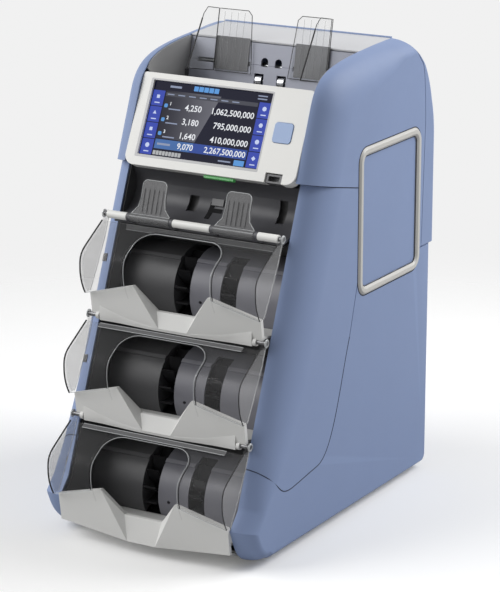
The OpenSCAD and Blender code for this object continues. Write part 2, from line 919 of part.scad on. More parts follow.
// Outline of the hopper's side wall, under the covers' top edge
function hopper_side() = let (
    up = [sin(wall_lean), cos(wall_lean)],
    back = screen_at + [-(bezel_t - bezel_proud) * cos(tilt), -(bezel_t - bezel_proud) * sin(tilt)],
    top = bezel_h - bezel_below
) concat(
    [
        [side_step[0] + 0.5, side_low(side_step[0]) + 0.5],
        [floor_front[0] - 0.5, side_low(floor_front[0]) + 0.5],
        back + [-1 - (top - 14) * sin(tilt), (top - 14) * cos(tilt)],
        back + [-1 - top * sin(tilt), top * cos(tilt)],
        screen_at + [-2 - top * sin(tilt), 4 + top * cos(tilt)]
    ],
    [for (p = top_curve)
        if (p[0] < screen_at[0] - top * sin(tilt) - 4 && p[0] > top_back[0] + 1) p - [0.6, 1]],
    [
        top_back - [0, 1],
        wall_at + [touch - wall_up * up[0], wall_up - 1],
        [wall_at[0] + touch + 2.5, side_step[1] + 0.5],
        side_step + [0.5, 0.5]
    ]
);

module hopper_wall() {
    across(frame_t, (hw + fi) / 2)
        polygon(hopper_side());
}

module right_hopper_wall() {
    color("#4a4a4d")
        hopper_wall();
}

module left_hopper_wall() {
    color("#4a4a4d")
        mirror([1, 0, 0])
            hopper_wall();
}

// Clear note guides: a ribbed back plate and a fence that stands forward from its outer edge
guide_in = 30;
guide_drop = 11;
carrier_t = 1.1;

module note_guide() {
    z = carrier_t + 2 * touch;
    fence = [[0, -guide_drop], [58, -guide_drop], [34, guide_h - guide_drop - 8],
        [26, guide_h - guide_drop], [0, guide_h - guide_drop]];
    out = guide_in + guide_w;
    rib_w = 0.8;
    on_wall() {
        translate([0, 0, z])
            linear_extrude(guide_t)
                polygon([[guide_in - 6, -guide_drop], [out, -guide_drop], [out, guide_h - guide_drop],
                    [guide_in + 5, guide_h - guide_drop], [guide_in, guide_h - guide_drop - 5]]);
        translate([out, 0, z + guide_t - eps])
            rotate([0, -90, 0])
                linear_extrude(guide_t)
                    polygon(fence);
        for (i = [1:4])
            translate([guide_in + i * guide_w / 5, -guide_drop + 3, z + guide_t - eps])
                cube([rib_w, guide_h - 6, 0.6]);
    }
}

module guide_slider() {
    plate = [guide_w, 38];
    arm = [8, 4];
    shoe = [16, 12];
    x = guide_in + guide_w / 2;
    on_wall()
        translate([x - plate[0] / 2, -9, touch])
            cube([plate[0], plate[1], carrier_t]);
    difference() {
        union() {
            on_wall()
                translate([x - arm[0] / 2, -arm[1] / 2, -wall - 7])
                    cube([arm[0], arm[1], wall + 7 + touch + eps]);
            on_wall()
                translate([x - shoe[0] / 2, -shoe[1] / 2, -wall - 13])
                    cube([shoe[0], shoe[1], 12]);
        }
        bar(rail_at, rail_d + 2 * run_gap, shoe[0] + 1, x);
    }
}

module right_note_guide() {
    color("#dfe4e8", 0.5)
        note_guide();
}

module left_note_guide() {
    color("#dfe4e8", 0.5)
        mirror([1, 0, 0])
            note_guide();
}

module right_guide_slider() {
    color("#4c4c50")
        guide_slider();
}

module left_guide_slider() {
    color("#4c4c50")
        mirror([1, 0, 0])
            guide_slider();
}

module guide_rail() {
    color("#b8babd")
        bar(rail_at, rail_d, bay_w);
}

module gate_rollers() {
    color("#d0d2d5") {
        bar(gate_at, gate_shaft_d, bay_w + 4);
        for (s = [-1, 1])
            bar(gate_at, gate_d, gate_w, s * gate_x);
    }
}

module pickup_rollers() {
    color("#1f1f21") {
        bar(pickup_at, shaft_d, bay_w + 4);
        for (x = pickup_xs)
            difference() {
                bar(pickup_at, pickup_d, pickup_w, x);
                for (a = [0:30:330])
                    at(pickup_at, x)
                        rotate([a, 0, 0])
                            translate([0, pickup_d / 2, 0])
                                cube([pickup_w + 1, 1.6, 1.6], center = true);
            }
    }
}

// Reject pocket

ear_xs = [28 - hw, -26, 26, hw - 28];
ear_w = 4;
ear_r = 4.5;
chute_lip = hinge(0) - [9.5, 7.6];
chute_run = bez([screen_at + [-10, -17.5], screen_at + [-26, -40.7], chute_lip - [44, -3], chute_lip], 8);

module reject_chute() {
    color("#38383a")
        difference() {
            union() {
                across(2 * fi)
                    polygon(strip(chute_run, -wall));
                for (x = ear_xs)
                    across(ear_w, x) {
                        translate(hinge(0))
                            circle(ear_r);
                        polygon([chute_lip - [8, 0], chute_lip - [8, wall], chute_lip - [0, wall],
                            hinge(0) + [0.5, -ear_r], hinge(0) + [-2, 4]]);
                    }
            }
            bar(hinge(0), rod_d, bay_w);
            for (s = [-1, 1])
                translate([s * 30 - 6, rear_y - 285, foot_h + hinge(0)[1] + 3])
                    cube([12, 60, 16]);
            for (s = [-1, 1])
                translate([s * 84 - 5, rear_y - 285, foot_h + hinge(0)[1] + 3])
                    cube([10, 60, 24]);
        }
}

module hinge_rods() {
    color("#b4b6b9")
        for (k = [0:2])
            bar(hinge(k), rod_d, bay_w + 11);
}

// Cream sleeves that fill the rod between the ears of the reject pocket
module bar_sleeves() {
    sleeve_d = 9;
    inner_w = ear_xs[2] - ear_xs[1] - ear_w - 2 * touch;
    outer_end = hw - 0.5;
    outer_w = outer_end - ear_xs[3] - ear_w / 2 - touch;
    color("#c9c8c2")
        difference() {
            union() {
                bar(hinge(0), sleeve_d, inner_w);
                for (s = [-1, 1])
                    bar(hinge(0), sleeve_d, outer_w, s * (outer_end - outer_w / 2));
            }
            bar(hinge(0), rod_d, bay_w + 2);
        }
}

module reject_finger() {
    lean = 18;
    hub_d = 10;
    base_w = ear_xs[3] - ear_xs[2] - ear_w - 2 * slip;
    top_w = 31;
    foot_w = base_w / 2 - 1;
    thick = 3;
    r = 6;
    x = (ear_xs[2] + ear_xs[3]) / 2;
    difference() {
        union() {
            bar(hinge(0), hub_d, base_w, x);
            at(hinge(0), x)
                rotate([90 - lean, 0, 0])
                    translate([0, 0, -thick / 2]) {
                        linear_extrude(thick)
                            polygon(concat(
                                [[-foot_w, 1], [foot_w, 1], [foot_w, 5]],
                                [[top_w / 2 + 2, 13], [top_w / 2, 24]],
                                arc([top_w / 2 - r, finger_l - r], r, 0, 90, 5),
                                arc([r - top_w / 2, finger_l - r], r, 90, 180, 5),
                                [[-top_w / 2, 24], [-top_w / 2 - 2, 13], [-foot_w, 5]]
                            ));
                        for (i = [-2:2])
                            translate([i * 6 - 0.6, 7, thick - 0.5])
                                cube([1.2, finger_l - 17, 1.5]);
                    }
        }
        bar(hinge(0), rod_d + 2 * run_gap, bay_w, x);
    }
}

module right_reject_finger() {
    color("#77787b", 0.8)
        reject_finger();
}

module left_reject_finger() {
    color("#77787b", 0.8)
        mirror([1, 0, 0])
            reject_finger();
}

// Stacker trays

lip_x = hw - 0.4;
crease_x = 18;
notch_back = 11;
lip_foot = 16.5;
bar_drop = hinge_rise - pocket_rise;

// How far a lip's front stands forward of its peaks, x from the middle and h above the peaks
function lobe_d(x, h) = (peak_x - x) * tan(lip_splay) + h * tan(lip_lean);

// A point of the lip on its right or left half, from x across, d forward and h up from the peaks
function lip_point(k, p, s) = [s * p[0], rear_y - peak(k)[0] - p[1], foot_h + peak(k)[1] + p[2]];

// The two-peaked lip: each half is a flat face, and the middle folds back to the finger notch.
// The points of a half run from the peak to the end, down, in to the crease and up to the notch.
module tray_lip(k) {
    low = k == 2 ? [-50.4, -57] : [bar_drop + 2.3, bar_drop - 1.6];
    front = [
        [peak_x, 0, 0],
        [lip_x, lobe_d(lip_x, -end_drop), -end_drop],
        [lip_x, lobe_d(lip_x, low[0]), low[0]],
        [crease_x, lobe_d(crease_x, low[1]), low[1]],
        [notch_x, -notch_back, -notch_drop]
    ];
    back = [
        front[0] - [0, lip_t, 0],
        front[1] - [0, lip_t, 0],
        [lip_x, -lip_foot, low[0]],
        [crease_x, -lip_foot, low[1]],
        front[4] - [0, lip_t, 0]
    ];
    half = [[0, 1, 2], [0, 2, 3], [0, 3, 4]];
    skin = concat(half, [for (f = half) [f[2], f[1], f[0]] + [5, 5, 5]], [[3, 8, 9], [3, 9, 4]]);
    loop = [2, 1, 0, 4, 9, 5, 6, 7, 8, 3];
    polyhedron(
        flat_list([for (l = [front, back], s = [1, -1]) [for (p = l) lip_point(k, p, s)]]),
        concat(
            skin,
            [for (f = skin) [for (i = [2:-1:0]) f[i]] + [10, 10, 10]],
            flat_list([for (i = [0:9]) let (a = loop[i], b = loop[(i + 1) % 10])
                [[a, b, b + 10], [a, b + 10, a + 10]]])
        )
    );
}

module tray(k) {
    seat = axle(k) + (guide_r + touch) * [cos(-30), sin(-30)];
    bed = peak(k) + [1 - lip_foot, bar_drop + 5.3];
    difference() {
        union() {
            tray_lip(k);
            across(2 * (fi - base_t - touch))
                polygon(strip([bed + [2.5, 0], seat], wall));
            if (k == 2)
                across(2 * (lip_x - 5))
                    polygon(strip([peak(k) + [-13.4, -47.3], peak(k) + [-52, -63.8]], wall));
            if (k < 2)
                for (s = [-1, 1])
                    across(ear_w, s * (hw - 9)) {
                        translate(hinge(k + 1))
                            circle(ear_r);
                        polygon([hinge(k + 1) + [-ear_r, 0], hinge(k + 1) + [ear_r, 0], bed + [3, 1], bed]);
                    }
        }
        for (s = [-1, 1])
            bar(spindle(k), 2 * (wheel_r + wheel_gap), slot_w, s * wheel_x);
        if (k < 2)
            bar(hinge(k + 1), rod_d, bay_w);
    }
}

module tray_1() {
    color("#bebeba")
        tray(0);
}

module tray_2() {
    color("#bebeba")
        tray(1);
}

module tray_3() {
    color("#bebeba")
        tray(2);
}

// Rounded guides behind the pockets, with slots for the stacker wheels

guide_wall = 2.5;
wheel_gap = 1.5;
slot_w = wheel_w + 5;

module guide_arc(a, b) {
    far = 2 * guide_r;
    intersection() {
        difference() {
            circle(guide_r, $fn = 96);
            circle(guide_r - guide_wall, $fn = 96);
        }
        polygon(concat([[0, 0]], arc([0, 0], far, a, b, 8)));
    }
}

module guide_shell(k, x0, x1) {
    across(x1 - x0, (x0 + x1) / 2)
        translate(axle(k)) {
            guide_arc(-32, 150);
            rotate(52)
                translate([guide_r - 1, -2.5])
                    square([2.4, 5]);
        }
}

// End wall of a guide beside a wheel, clear of the shaft
module guide_end(k, x) {
    across(2, x)
        translate(axle(k))
            difference() {
                intersection() {
                    circle(guide_r - guide_wall + eps, $fn = 96);
                    polygon(concat([[0, 0]], arc([0, 0], 2 * guide_r, -32, 150, 8)));
                }
                translate(wheel_shift)
                    circle(shaft_d);
            }
}

module dark_guide(k) {
    edge = -wheel_x - slot_w / 2;
    guide_shell(k, -fi, edge);
    guide_end(k, edge - 1);
}

module grey_guide(k) {
    edge = slot_w / 2;
    difference() {
        union() {
            guide_shell(k, edge - wheel_x, fi);
            guide_end(k, edge - wheel_x + 1);
        }
        bar(spindle(k), 2 * (wheel_r + wheel_gap), slot_w, wheel_x);
        for (a = [8, -8])
            at(axle(k), a + 2)
                rotate([a / 2 + 10, 0, 0])
                    rotate([90, 0, 0])
                        cylinder(d = 4, h = 2 * guide_r);
    }
}

module dark_guide_1() {
    color("#363638")
        dark_guide(0);
}

module dark_guide_2() {
    color("#363638")
        dark_guide(1);
}

module dark_guide_3() {
    color("#363638")
        dark_guide(2);
}

module grey_guide_1() {
    color("#72727a")
        grey_guide(0);
}

module grey_guide_2() {
    color("#72727a")
        grey_guide(1);
}

module grey_guide_3() {
    color("#72727a")
        grey_guide(2);
}

bush_flange = 1.5;

module stacker_shaft(k) {
    bar(spindle(k), shaft_d, bay_w + 2 * bush_flange + 2);
}

// One swept-back blade of a stacker wheel
module blade() {
    polygon(strip([for (i = [0:4]) let (r = 9 + (wheel_r - 9) * i / 4) r * [cos(9 * i), sin(9 * i)]], 2.2));
}

module stacker_wheels(k) {
    hub_d = 24;
    for (s = [-1, 1])
        across(wheel_w, s * wheel_x)
            translate(spindle(k))
                difference() {
                    union() {
                        circle(d = hub_d);
                        for (i = [0:blades - 1])
                            rotate(360 * i / blades)
                                blade();
                    }
                    circle(d = shaft_d);
                }
}

module stacker_shaft_1() {
    color("#c4c6c9")
        stacker_shaft(0);
}

module stacker_shaft_2() {
    color("#c4c6c9")
        stacker_shaft(1);
}

module stacker_shaft_3() {
    color("#c4c6c9")
        stacker_shaft(2);
}

module stacker_wheels_1() {
    color("#141416")
        stacker_wheels(0);
}

module stacker_wheels_2() {
    color("#141416")
        stacker_wheels(1);
}

module stacker_wheels_3() {
    color("#141416")
        stacker_wheels(2);
}

module shaft_bushes() {
    color("#c09a50")
        for (k = [0:2], s = [-1, 1])
            difference() {
                union() {
                    bar(spindle(k), shaft_d + 4, frame_t, s * (hw + fi) / 2);
                    bar(spindle(k), shaft_d + 8, bush_flange, s * (hw + bush_flange / 2));
                }
                bar(spindle(k), shaft_d + 2 * run_gap, 3 * bush_flange + 2 * frame_t, s * hw);
            }
}

// Smoked visors

visor_x = hw + 2.5;
knuckle_w = 4;
knuckle_d = 10;
visor_slope = 32.2;
visor_start = 10.6 * [cos(visor_slope), -sin(visor_slope)];
visor_edge = concat(
    [visor_start],
    bez([[visor_reach - 13, -25.8], [visor_reach - 3.6, -31.8], [visor_reach, -36], [visor_reach, -48]], 6),
    bez([[visor_reach, -50], [visor_reach, -60], [visor_reach - 3, -70], [visor_reach - 9, -80]], 4)
);

module visor(k) {
    cheek_back = [[visor_reach - 18.5, -80], [visor_reach - 31, -59.4], [visor_reach - 50, -24], [-4, -3]];
    rim = [arch_w / 2, tray_h - hinge(0)[1] + 1.5 - (arch_w / 2 - peak_x) * end_drop / (lip_x - peak_x)];
    end = [visor_x + 1, tray_h - hinge(0)[1] + 1.5 - (visor_x + 1 - peak_x) * end_drop / (lip_x - peak_x)];
    difference() {
        union() {
            across(2 * visor_x)
                translate(hinge(k))
                    polygon(strip(visor_edge, -visor_t));
            across(2 * (hw - 12))
                translate(hinge(k))
                    rotate(-visor_slope)
                        translate([12, -0.5])
                            square([6, 1.7]);
            for (s = [-1, 1]) {
                across(visor_t, s * (visor_x - visor_t / 2))
                    translate(hinge(k)) {
                        polygon(concat(visor_edge, cheek_back));
                        polygon([[-4, -3], [-1, 4.5], visor_start]);
                        circle(d = knuckle_d);
                    }
                bar(hinge(k), knuckle_d, knuckle_w, s * (visor_x + knuckle_w / 2 - visor_t));
            }
        }
        at(hinge(k))
            rotate([visor_slope, 0, 0])
                arch_cut();
        for (s = [-1, 1])
            at(hinge(k), 0)
                rotate([90, 0, 0])
                    linear_extrude(300, center = true)
                        polygon([[s * rim[0], rim[1]], [s * end[0], end[1]],
                            [s * end[0], -120], [s * rim[0], -120]]);
        bar(hinge(k), rod_d + 2 * run_gap, 2 * visor_x + 3 * knuckle_w);
    }
}

// The arch, drawn on the visor's sloping top
module arch_cut() {
    r = 22;
    top = 19;
    far = 110;
    linear_extrude(200, center = true) {
        translate([-arch_w / 2, -far])
            square([arch_w, far - top - r]);
        translate([r - arch_w / 2, -far])
            square([arch_w - 2 * r, far - top]);
        for (s = [-1, 1])
            translate([s * (arch_w / 2 - r), -top - r])
                circle(r);
    }
}

module visor_1() {
    color("#6c6c6e", 0.5)
        visor(0);
}

module visor_2() {
    color("#6c6c6e", 0.5)
        visor(1);
}

module visor_3() {
    color("#6c6c6e", 0.5)
        visor(2);
}

// Power supply on the base plate
module power_supply() {
    size = [2 * hw - 70, 95, 42];
    color("#a5a7a8")
        translate([-size[0] / 2, rear_y - 130 - size[1] / 2, foot_h + base_t])
            difference() {
                cube(size);
                for (i = [0:9])
                    translate([15 + 12.5 * i, 12, size[2] - 2])
                        cube([5, size[1] - 24, 3]);
            }
}

base_plate();
feet();
left_frame();
right_frame();
left_upper_cover();
right_upper_cover();
left_front_cover();
right_front_cover();
left_base_cover();
right_base_cover();
left_trim_ring();
right_trim_ring();
left_insert_panel();
right_insert_panel();
rear_hood();
rear_panel();
top_cover();
hopper_back_plate();
hopper_floor();
left_hopper_wall();
right_hopper_wall();
display_bezel();
display_screen();
start_button();
usb_socket();
status_light();
reject_chute();
hinge_rods();
bar_sleeves();
left_reject_finger();
right_reject_finger();
tray_1();
tray_2();
tray_3();
dark_guide_1();
dark_guide_2();
dark_guide_3();
grey_guide_1();
grey_guide_2();
grey_guide_3();
stacker_shaft_1();
stacker_shaft_2();
stacker_shaft_3();
stacker_wheels_1();
stacker_wheels_2();
stacker_wheels_3();
shaft_bushes();
visor_1();
visor_2();
visor_3();
left_note_guide();
right_note_guide();
left_guide_slider();
right_guide_slider();
guide_rail();
gate_rollers();
pickup_rollers();
power_supply();
mains_inlet();
power_switch();
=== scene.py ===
import math

import bmesh
import bpy
import numpy as np
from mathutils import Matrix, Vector


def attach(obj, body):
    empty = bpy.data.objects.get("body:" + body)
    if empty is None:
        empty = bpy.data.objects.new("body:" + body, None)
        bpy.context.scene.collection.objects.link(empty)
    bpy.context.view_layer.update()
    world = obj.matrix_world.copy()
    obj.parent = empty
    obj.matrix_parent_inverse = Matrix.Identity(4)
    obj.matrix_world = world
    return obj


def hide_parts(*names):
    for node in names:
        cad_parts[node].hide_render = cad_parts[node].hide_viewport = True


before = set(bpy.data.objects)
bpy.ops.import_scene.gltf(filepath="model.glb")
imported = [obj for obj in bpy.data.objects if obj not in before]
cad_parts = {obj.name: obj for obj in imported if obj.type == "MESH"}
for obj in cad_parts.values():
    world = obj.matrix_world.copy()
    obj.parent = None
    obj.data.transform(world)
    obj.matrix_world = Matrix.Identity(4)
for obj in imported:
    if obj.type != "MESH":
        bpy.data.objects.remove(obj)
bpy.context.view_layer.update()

# Sizes in millimetres, as in the part's source. A side-view place is (d, h): d forward of the rear
# face and h above the covers' underside.
REAR_Y, FOOT_H = 210.5, 4.0
HALF_BAY, COVER_T, COVER_WALL = 110.0, 27.0, 2.5
BODY_H = 523.0
FRONT_LEAN = math.radians(21.9)
FRONT_UP = np.array([-math.sin(FRONT_LEAN), math.cos(FRONT_LEAN)])
FRONT_OUT = np.array([math.cos(FRONT_LEAN), math.sin(FRONT_LEAN)])
FRONT_ROLL, TOP_ROLL, SEAM_RUN = 50.0, 38.0, 26.0
SEAM_GAP, SEAM_ROLL = 0.8, 0.15
REAR_CORNER_R, REAR_ROLL, CHIN_ROLL = 14, 7, 14
SEAM = 1  # as a roll width, marks a side of an outline as a seam
CHIN_TOP, CHIN_TIP, CHIN_END = np.array([400, 62.4]), np.array([416.5, 44.5]), np.array([372.0, 0])
RING_MID, RING_SIZE, RING_R = np.array([107, 335.4]), np.array([151.0, 171.0]), 18.0
RING_LOW, RING_HIGH = RING_MID - RING_SIZE / 2, RING_MID + RING_SIZE / 2
UPPER_PROUD, SEAM_H, SEAM_DROP = 11.5, BODY_H - 125.0, 20.5
HOOD_LOW, HOOD_STEP, HOOD_ROLL = 274.0, 14.5, 14.0
HOOD_TOP = np.array([57.5, BODY_H])
HOOD_CORNER = HOOD_TOP - [28.5, 31]
TILT, WALL_LEAN = math.radians(25.7), math.radians(12)
SCREEN_AT = np.array([272.0, BODY_H - 116.3])
WALL_AT = np.array([139.5, BODY_H - 30.2])
SCREEN_W, SCREEN_H, SCREEN_X = 154.0, 86.0, 15.7 - HALF_BAY
BEZEL_PROUD = 3.0
VISOR_START, VISOR_REACH, VISOR_HALF = 10.6, 54.4, HALF_BAY + 2.5
ARCH_HALF, ARCH_TOP, ARCH_R = 55.5, 19.0, 22.0
VISOR_SLOPE = math.radians(32.2)
SLOPE = np.array([math.cos(VISOR_SLOPE), -math.sin(VISOR_SLOPE)])
SLOPE_UP = np.array([math.sin(VISOR_SLOPE), math.cos(VISOR_SLOPE)])
FIRST_PEAK, TRAY_STEP = np.array([358.5, 281.6]), np.array([34.8, -107.3])
HINGE_FROM_PEAK = np.array([-47, 63])
GUIDE_FROM_PEAK, RIDGE_R = np.array([-119.5, -26.6]), 48.45
FINGER_X = 54.0
SHARP_ANGLE = math.radians(35)


def peak(k):
    """Side-view place of the peaks of tray k."""
    return FIRST_PEAK + k * TRAY_STEP


def hinge(k):
    """Side-view place of the hinge of visor k."""
    return peak(k) + HINGE_FROM_PEAK


# Camera, at the photograph's viewing angle

def make_camera():
    """A long lens at the place found from the machine's straight edges."""
    lens = bpy.data.cameras.new("photo_camera")
    lens.lens, lens.sensor_width = 155.46, 36.0
    camera = bpy.data.objects.new("photo_camera", lens)
    camera.location = (1.4275, -2.40154, 1.05144)
    camera.rotation_euler = (math.radians(73.88), 0, math.radians(30.48))
    bpy.context.scene.collection.objects.link(camera)
    bpy.context.scene.camera = camera


# Mesh helpers

def at_side(x, d, h):
    """Points in metres from places across the bay, forward of the rear face and above the underside."""
    x, d, h = np.broadcast_arrays(np.asarray(x, float), d, h)
    return np.stack([x, REAR_Y - d, FOOT_H + h], -1) / 1000


def on_plane(origin, lean, x, y, z):
    """Points in metres on a face that leans back by lean from the vertical: x across, y up, z out of it."""
    x, y, z = np.broadcast_arrays(np.asarray(x, float), y, z)
    c, s = math.sin(lean), math.cos(lean)
    return np.stack([x, REAR_Y - origin[0] + y * c - z * s, FOOT_H + origin[1] + y * s + z * c], -1) / 1000


def on_screen(x, y, z):
    """Points on the display: x across, y up from the picture's lower edge, z out of the glass."""
    return on_plane(SCREEN_AT, TILT, x, y, z)


def on_wall(x, y, z):
    """Points on the hopper's back wall: x across, y up from its slot line, z towards the notes."""
    return on_plane(WALL_AT, WALL_LEAN, x, y, z)


def grid_quads(rows, cols, wrap_rows=False, wrap_cols=False):
    """Quads over a grid of points, row by row, closed round its rows or columns where asked."""
    r = np.arange(rows if wrap_rows else rows - 1)[:, None]
    c = np.arange(cols if wrap_cols else cols - 1)[None, :]
    r2, c2 = (r + 1) % rows, (c + 1) % cols
    corners = r * cols + c, r * cols + c2, r2 * cols + c2, r2 * cols + c
    return np.stack(np.broadcast_arrays(*corners), -1).reshape(-1, 4)


def end_caps(rows, cols):
    """Two faces that close the first and the last row of a grid that goes round its columns."""
    return [list(range(cols))[::-1], list(range((rows - 1) * cols, rows * cols))]


def stack(parts):
    """Joins (points, faces) pairs into one pair, with the faces renumbered."""
    points, faces, first = [], [], 0
    for p, f in parts:
        points.append(p)
        faces += [[i + first for i in face] for face in f]
        first += len(p)
    return np.concatenate(points), faces


def add_piece(name, shape, body, material, sharp=35, bevel=0.0, out=True):
    """A mesh piece from (points in metres, faces), smooth but for edges sharper than an angle."""
    points, faces = shape
    mesh = bpy.data.meshes.new(name)
    mesh.from_pydata(points.tolist(), [], [list(map(int, f)) for f in faces])
    mesh.validate()
    if out:
        recalculate(mesh)
    mesh.polygons.foreach_set("use_smooth", np.ones(len(mesh.polygons), bool))
    mesh.set_sharp_from_angle(angle=math.radians(sharp))
    obj = bpy.data.objects.new(name, mesh)
    bpy.context.scene.collection.objects.link(obj)
    mesh.materials.append(material)
    if bevel:
        add_bevel(obj, bevel)
    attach(obj, body)
    return obj


def recalculate(mesh):
    """Merges doubled points and turns the faces of closed shells outwards."""
    work = bmesh.new()
    work.from_mesh(mesh)
    bmesh.ops.remove_doubles(work, verts=work.verts, dist=1e-7)
    bmesh.ops.recalc_face_normals(work, faces=work.faces)
    work.to_mesh(mesh)
    work.free()


def add_bevel(obj, width):
    """Rounds the sharp edges by a small radius so that they catch the light."""
    edge = obj.modifiers.new("edges", "BEVEL")
    edge.width, edge.segments = width / 1000, 2
    edge.limit_method, edge.angle_limit = "ANGLE", SHARP_ANGLE
    even = obj.modifiers.new("even", "WEIGHTED_NORMAL")
    even.keep_sharp = True


def bezier(p, n):
    """Points of a cubic curve with four control points, in n steps."""
    p = np.asarray(p, float)
    t = np.linspace(0, 1, n + 1)[:, None]
    s = 1 - t
    return s ** 3 * p[0] + 3 * s * s * t * p[1] + 3 * s * t * t * p[2] + t ** 3 * p[3]


def arc(mid, r, a, b, n):
    """Points of a circle's arc from angle a to angle b in degrees, in n steps."""
    t = np.radians(np.linspace(a, b, n + 1))
    return np.asarray(mid) + r * np.stack([np.cos(t), np.sin(t)], 1)


def round_rect(x0, y0, x1, y1, r, n=6):
    """Outline of a rectangle with round corners, anticlockwise."""
    return np.concatenate([
        arc((x1 - r, y1 - r), r, 0, 90, n), arc((x0 + r, y1 - r), r, 90, 180, n),
        arc((x0 + r, y0 + r), r, 180, 270, n), arc((x1 - r, y0 + r), r, 270, 360, n)])


def resample(line, n):
    """A side-view line with n points, spread evenly over the steps between its own points."""
    at, own = np.linspace(0, len(line) - 1, n), np.arange(len(line))
    return np.stack([np.interp(at, own, line[:, i]) for i in (0, 1)], 1)


def slab(outline, x0, x1):
    """A side-view outline carried across the bay from x0 to x1, closed at both ends."""
    n = len(outline)
    points = at_side(np.array([[x0], [x1]]), outline[:, 0], outline[:, 1]).reshape(-1, 3)
    return points, grid_quads(2, n, wrap_cols=True).tolist() + end_caps(2, n)


def sheet(path, thick, half):
    """A flat sheet: a side-view path with a thickness behind it, carried across the bay."""
    path = np.asarray(path, float)
    step = np.gradient(path, axis=0)
    normal = np.stack([step[:, 1], -step[:, 0]], 1) / np.linalg.norm(step, axis=1)[:, None]
    return slab(np.concatenate([path, (path - thick * normal)[::-1]]), -half, half)


def tube(path, radius, sides=10, closed=False):
    """A round tube: a circle carried along a path of points in metres, square to the path."""
    path = np.asarray(path, float)
    if closed:
        along = np.roll(path, -1, 0) - np.roll(path, 1, 0)
    else:
        along = np.gradient(path, axis=0)
    along /= np.linalg.norm(along, axis=1)[:, None]
    up = np.tile([0.3, 0.5, 0.81], (len(path), 1))
    side = np.cross(along, up)
    side /= np.linalg.norm(side, axis=1)[:, None]
    up = np.cross(side, along)
    a = np.linspace(0, 2 * np.pi, sides, endpoint=False)[None, :, None]
    points = path[:, None] + radius / 1000 * (np.cos(a) * side[:, None] + np.sin(a) * up[:, None])
    faces = grid_quads(len(path), sides, wrap_rows=closed, wrap_cols=True).tolist()
    if not closed:
        faces += end_caps(len(path), sides)
    return points.reshape(-1, 3), faces


def lathe(profile, place, sides=24):
    """A turned shape: (radius, height) pairs carried round an axis, placed by place(x, y, z)."""
    profile = np.asarray(profile, float)
    a = np.linspace(0, 2 * np.pi, sides, endpoint=False)[None, :]
    x, y = profile[:, :1] * np.cos(a), profile[:, :1] * np.sin(a)
    z = np.broadcast_to(profile[:, 1:], x.shape)
    points = place(x.ravel(), y.ravel(), z.ravel())
    return points, grid_quads(len(profile), sides, wrap_cols=True).tolist() + end_caps(len(profile), sides)


# Materials

GRAIN_DEPTH = 0.00012


def node_tools(name):
    """A new material with its shader, and short ways to add nodes and links."""
    made = bpy.data.materials.new(name)
    made.use_nodes = True
    tree = made.node_tree
    shader = tree.nodes["Principled BSDF"]

    def add(kind, **values):
        """A node with values for its sockets or settings."""
        node = tree.nodes.new(kind)
        for key, value in values.items():
            if key in node.inputs:
                node.inputs[key].default_value = value
            else:
                setattr(node, key, value)
        return node

    return made, shader, add, tree.links.new


def moulded(name, colour, rough, grain, bump, mottle, edge=0.12, gloss=0.5, stretch=(1, 1, 1),
            metal=0.0, alpha=1.0, ior=1.5, glow=None, spread=0.08):
    """A finish with slow colour drift, fine surface grain, uneven gloss and lighter worn edges."""
    made, shader, add, link = node_tools(name)
    shader.inputs["Metallic"].default_value = metal
    shader.inputs["IOR"].default_value = ior
    shader.inputs["Specular IOR Level"].default_value = gloss
    shader.inputs["Alpha"].default_value = alpha
    where = add("ShaderNodeTexCoord")
    turn = add("ShaderNodeMapping", Scale=stretch)
    link(where.outputs["Object"], turn.inputs["Vector"])
    drift = add("ShaderNodeTexNoise", Scale=14.0, Detail=4.0, Roughness=0.6)
    fine = add("ShaderNodeTexNoise", Scale=float(grain), Detail=3.0, Roughness=0.55)
    smear = add("ShaderNodeTexNoise", Scale=55.0, Detail=5.0, Roughness=0.65)
    for noise in (drift, fine, smear):
        link(turn.outputs["Vector"], noise.inputs["Vector"])
    lo = [c * (1 - mottle) for c in colour] + [1]
    hi = [min(1, c * (1 + mottle)) for c in colour] + [1]
    tone = add("ShaderNodeMix", data_type="RGBA")
    tone.inputs["A"].default_value, tone.inputs["B"].default_value = lo, hi
    link(drift.outputs["Fac"], tone.inputs["Factor"])
    shape = add("ShaderNodeNewGeometry")
    worn = add("ShaderNodeMapRange")
    for key, value in (("From Min", 0.52), ("From Max", 0.62), ("To Min", 0.0), ("To Max", edge)):
        worn.inputs[key].default_value = value
    link(shape.outputs["Pointiness"], worn.inputs["Value"])
    pale = add("ShaderNodeMix", data_type="RGBA")
    pale.inputs["B"].default_value = [min(1, c * 1.5 + 0.05) for c in colour] + [1]
    link(worn.outputs["Result"], pale.inputs["Factor"])
    link(tone.outputs["Result"], pale.inputs["A"])
    link(pale.outputs["Result"], shader.inputs["Base Color"])
    sheen = add("ShaderNodeMapRange")
    sheen.inputs["To Min"].default_value = max(0.02, rough - spread)
    sheen.inputs["To Max"].default_value = min(1, rough + spread)
    link(smear.outputs["Fac"], sheen.inputs["Value"])
    link(sheen.outputs["Result"], shader.inputs["Roughness"])
    rise = add("ShaderNodeBump", Strength=bump, Distance=GRAIN_DEPTH)
    link(fine.outputs["Fac"], rise.inputs["Height"])
    link(rise.outputs["Normal"], shader.inputs["Normal"])
    if glow:
        shader.inputs["Emission Color"].default_value = (*glow[0], 1)
        shader.inputs["Emission Strength"].default_value = glow[1]
    return made


# Looks by slot name in the record, and a few that only the scene uses

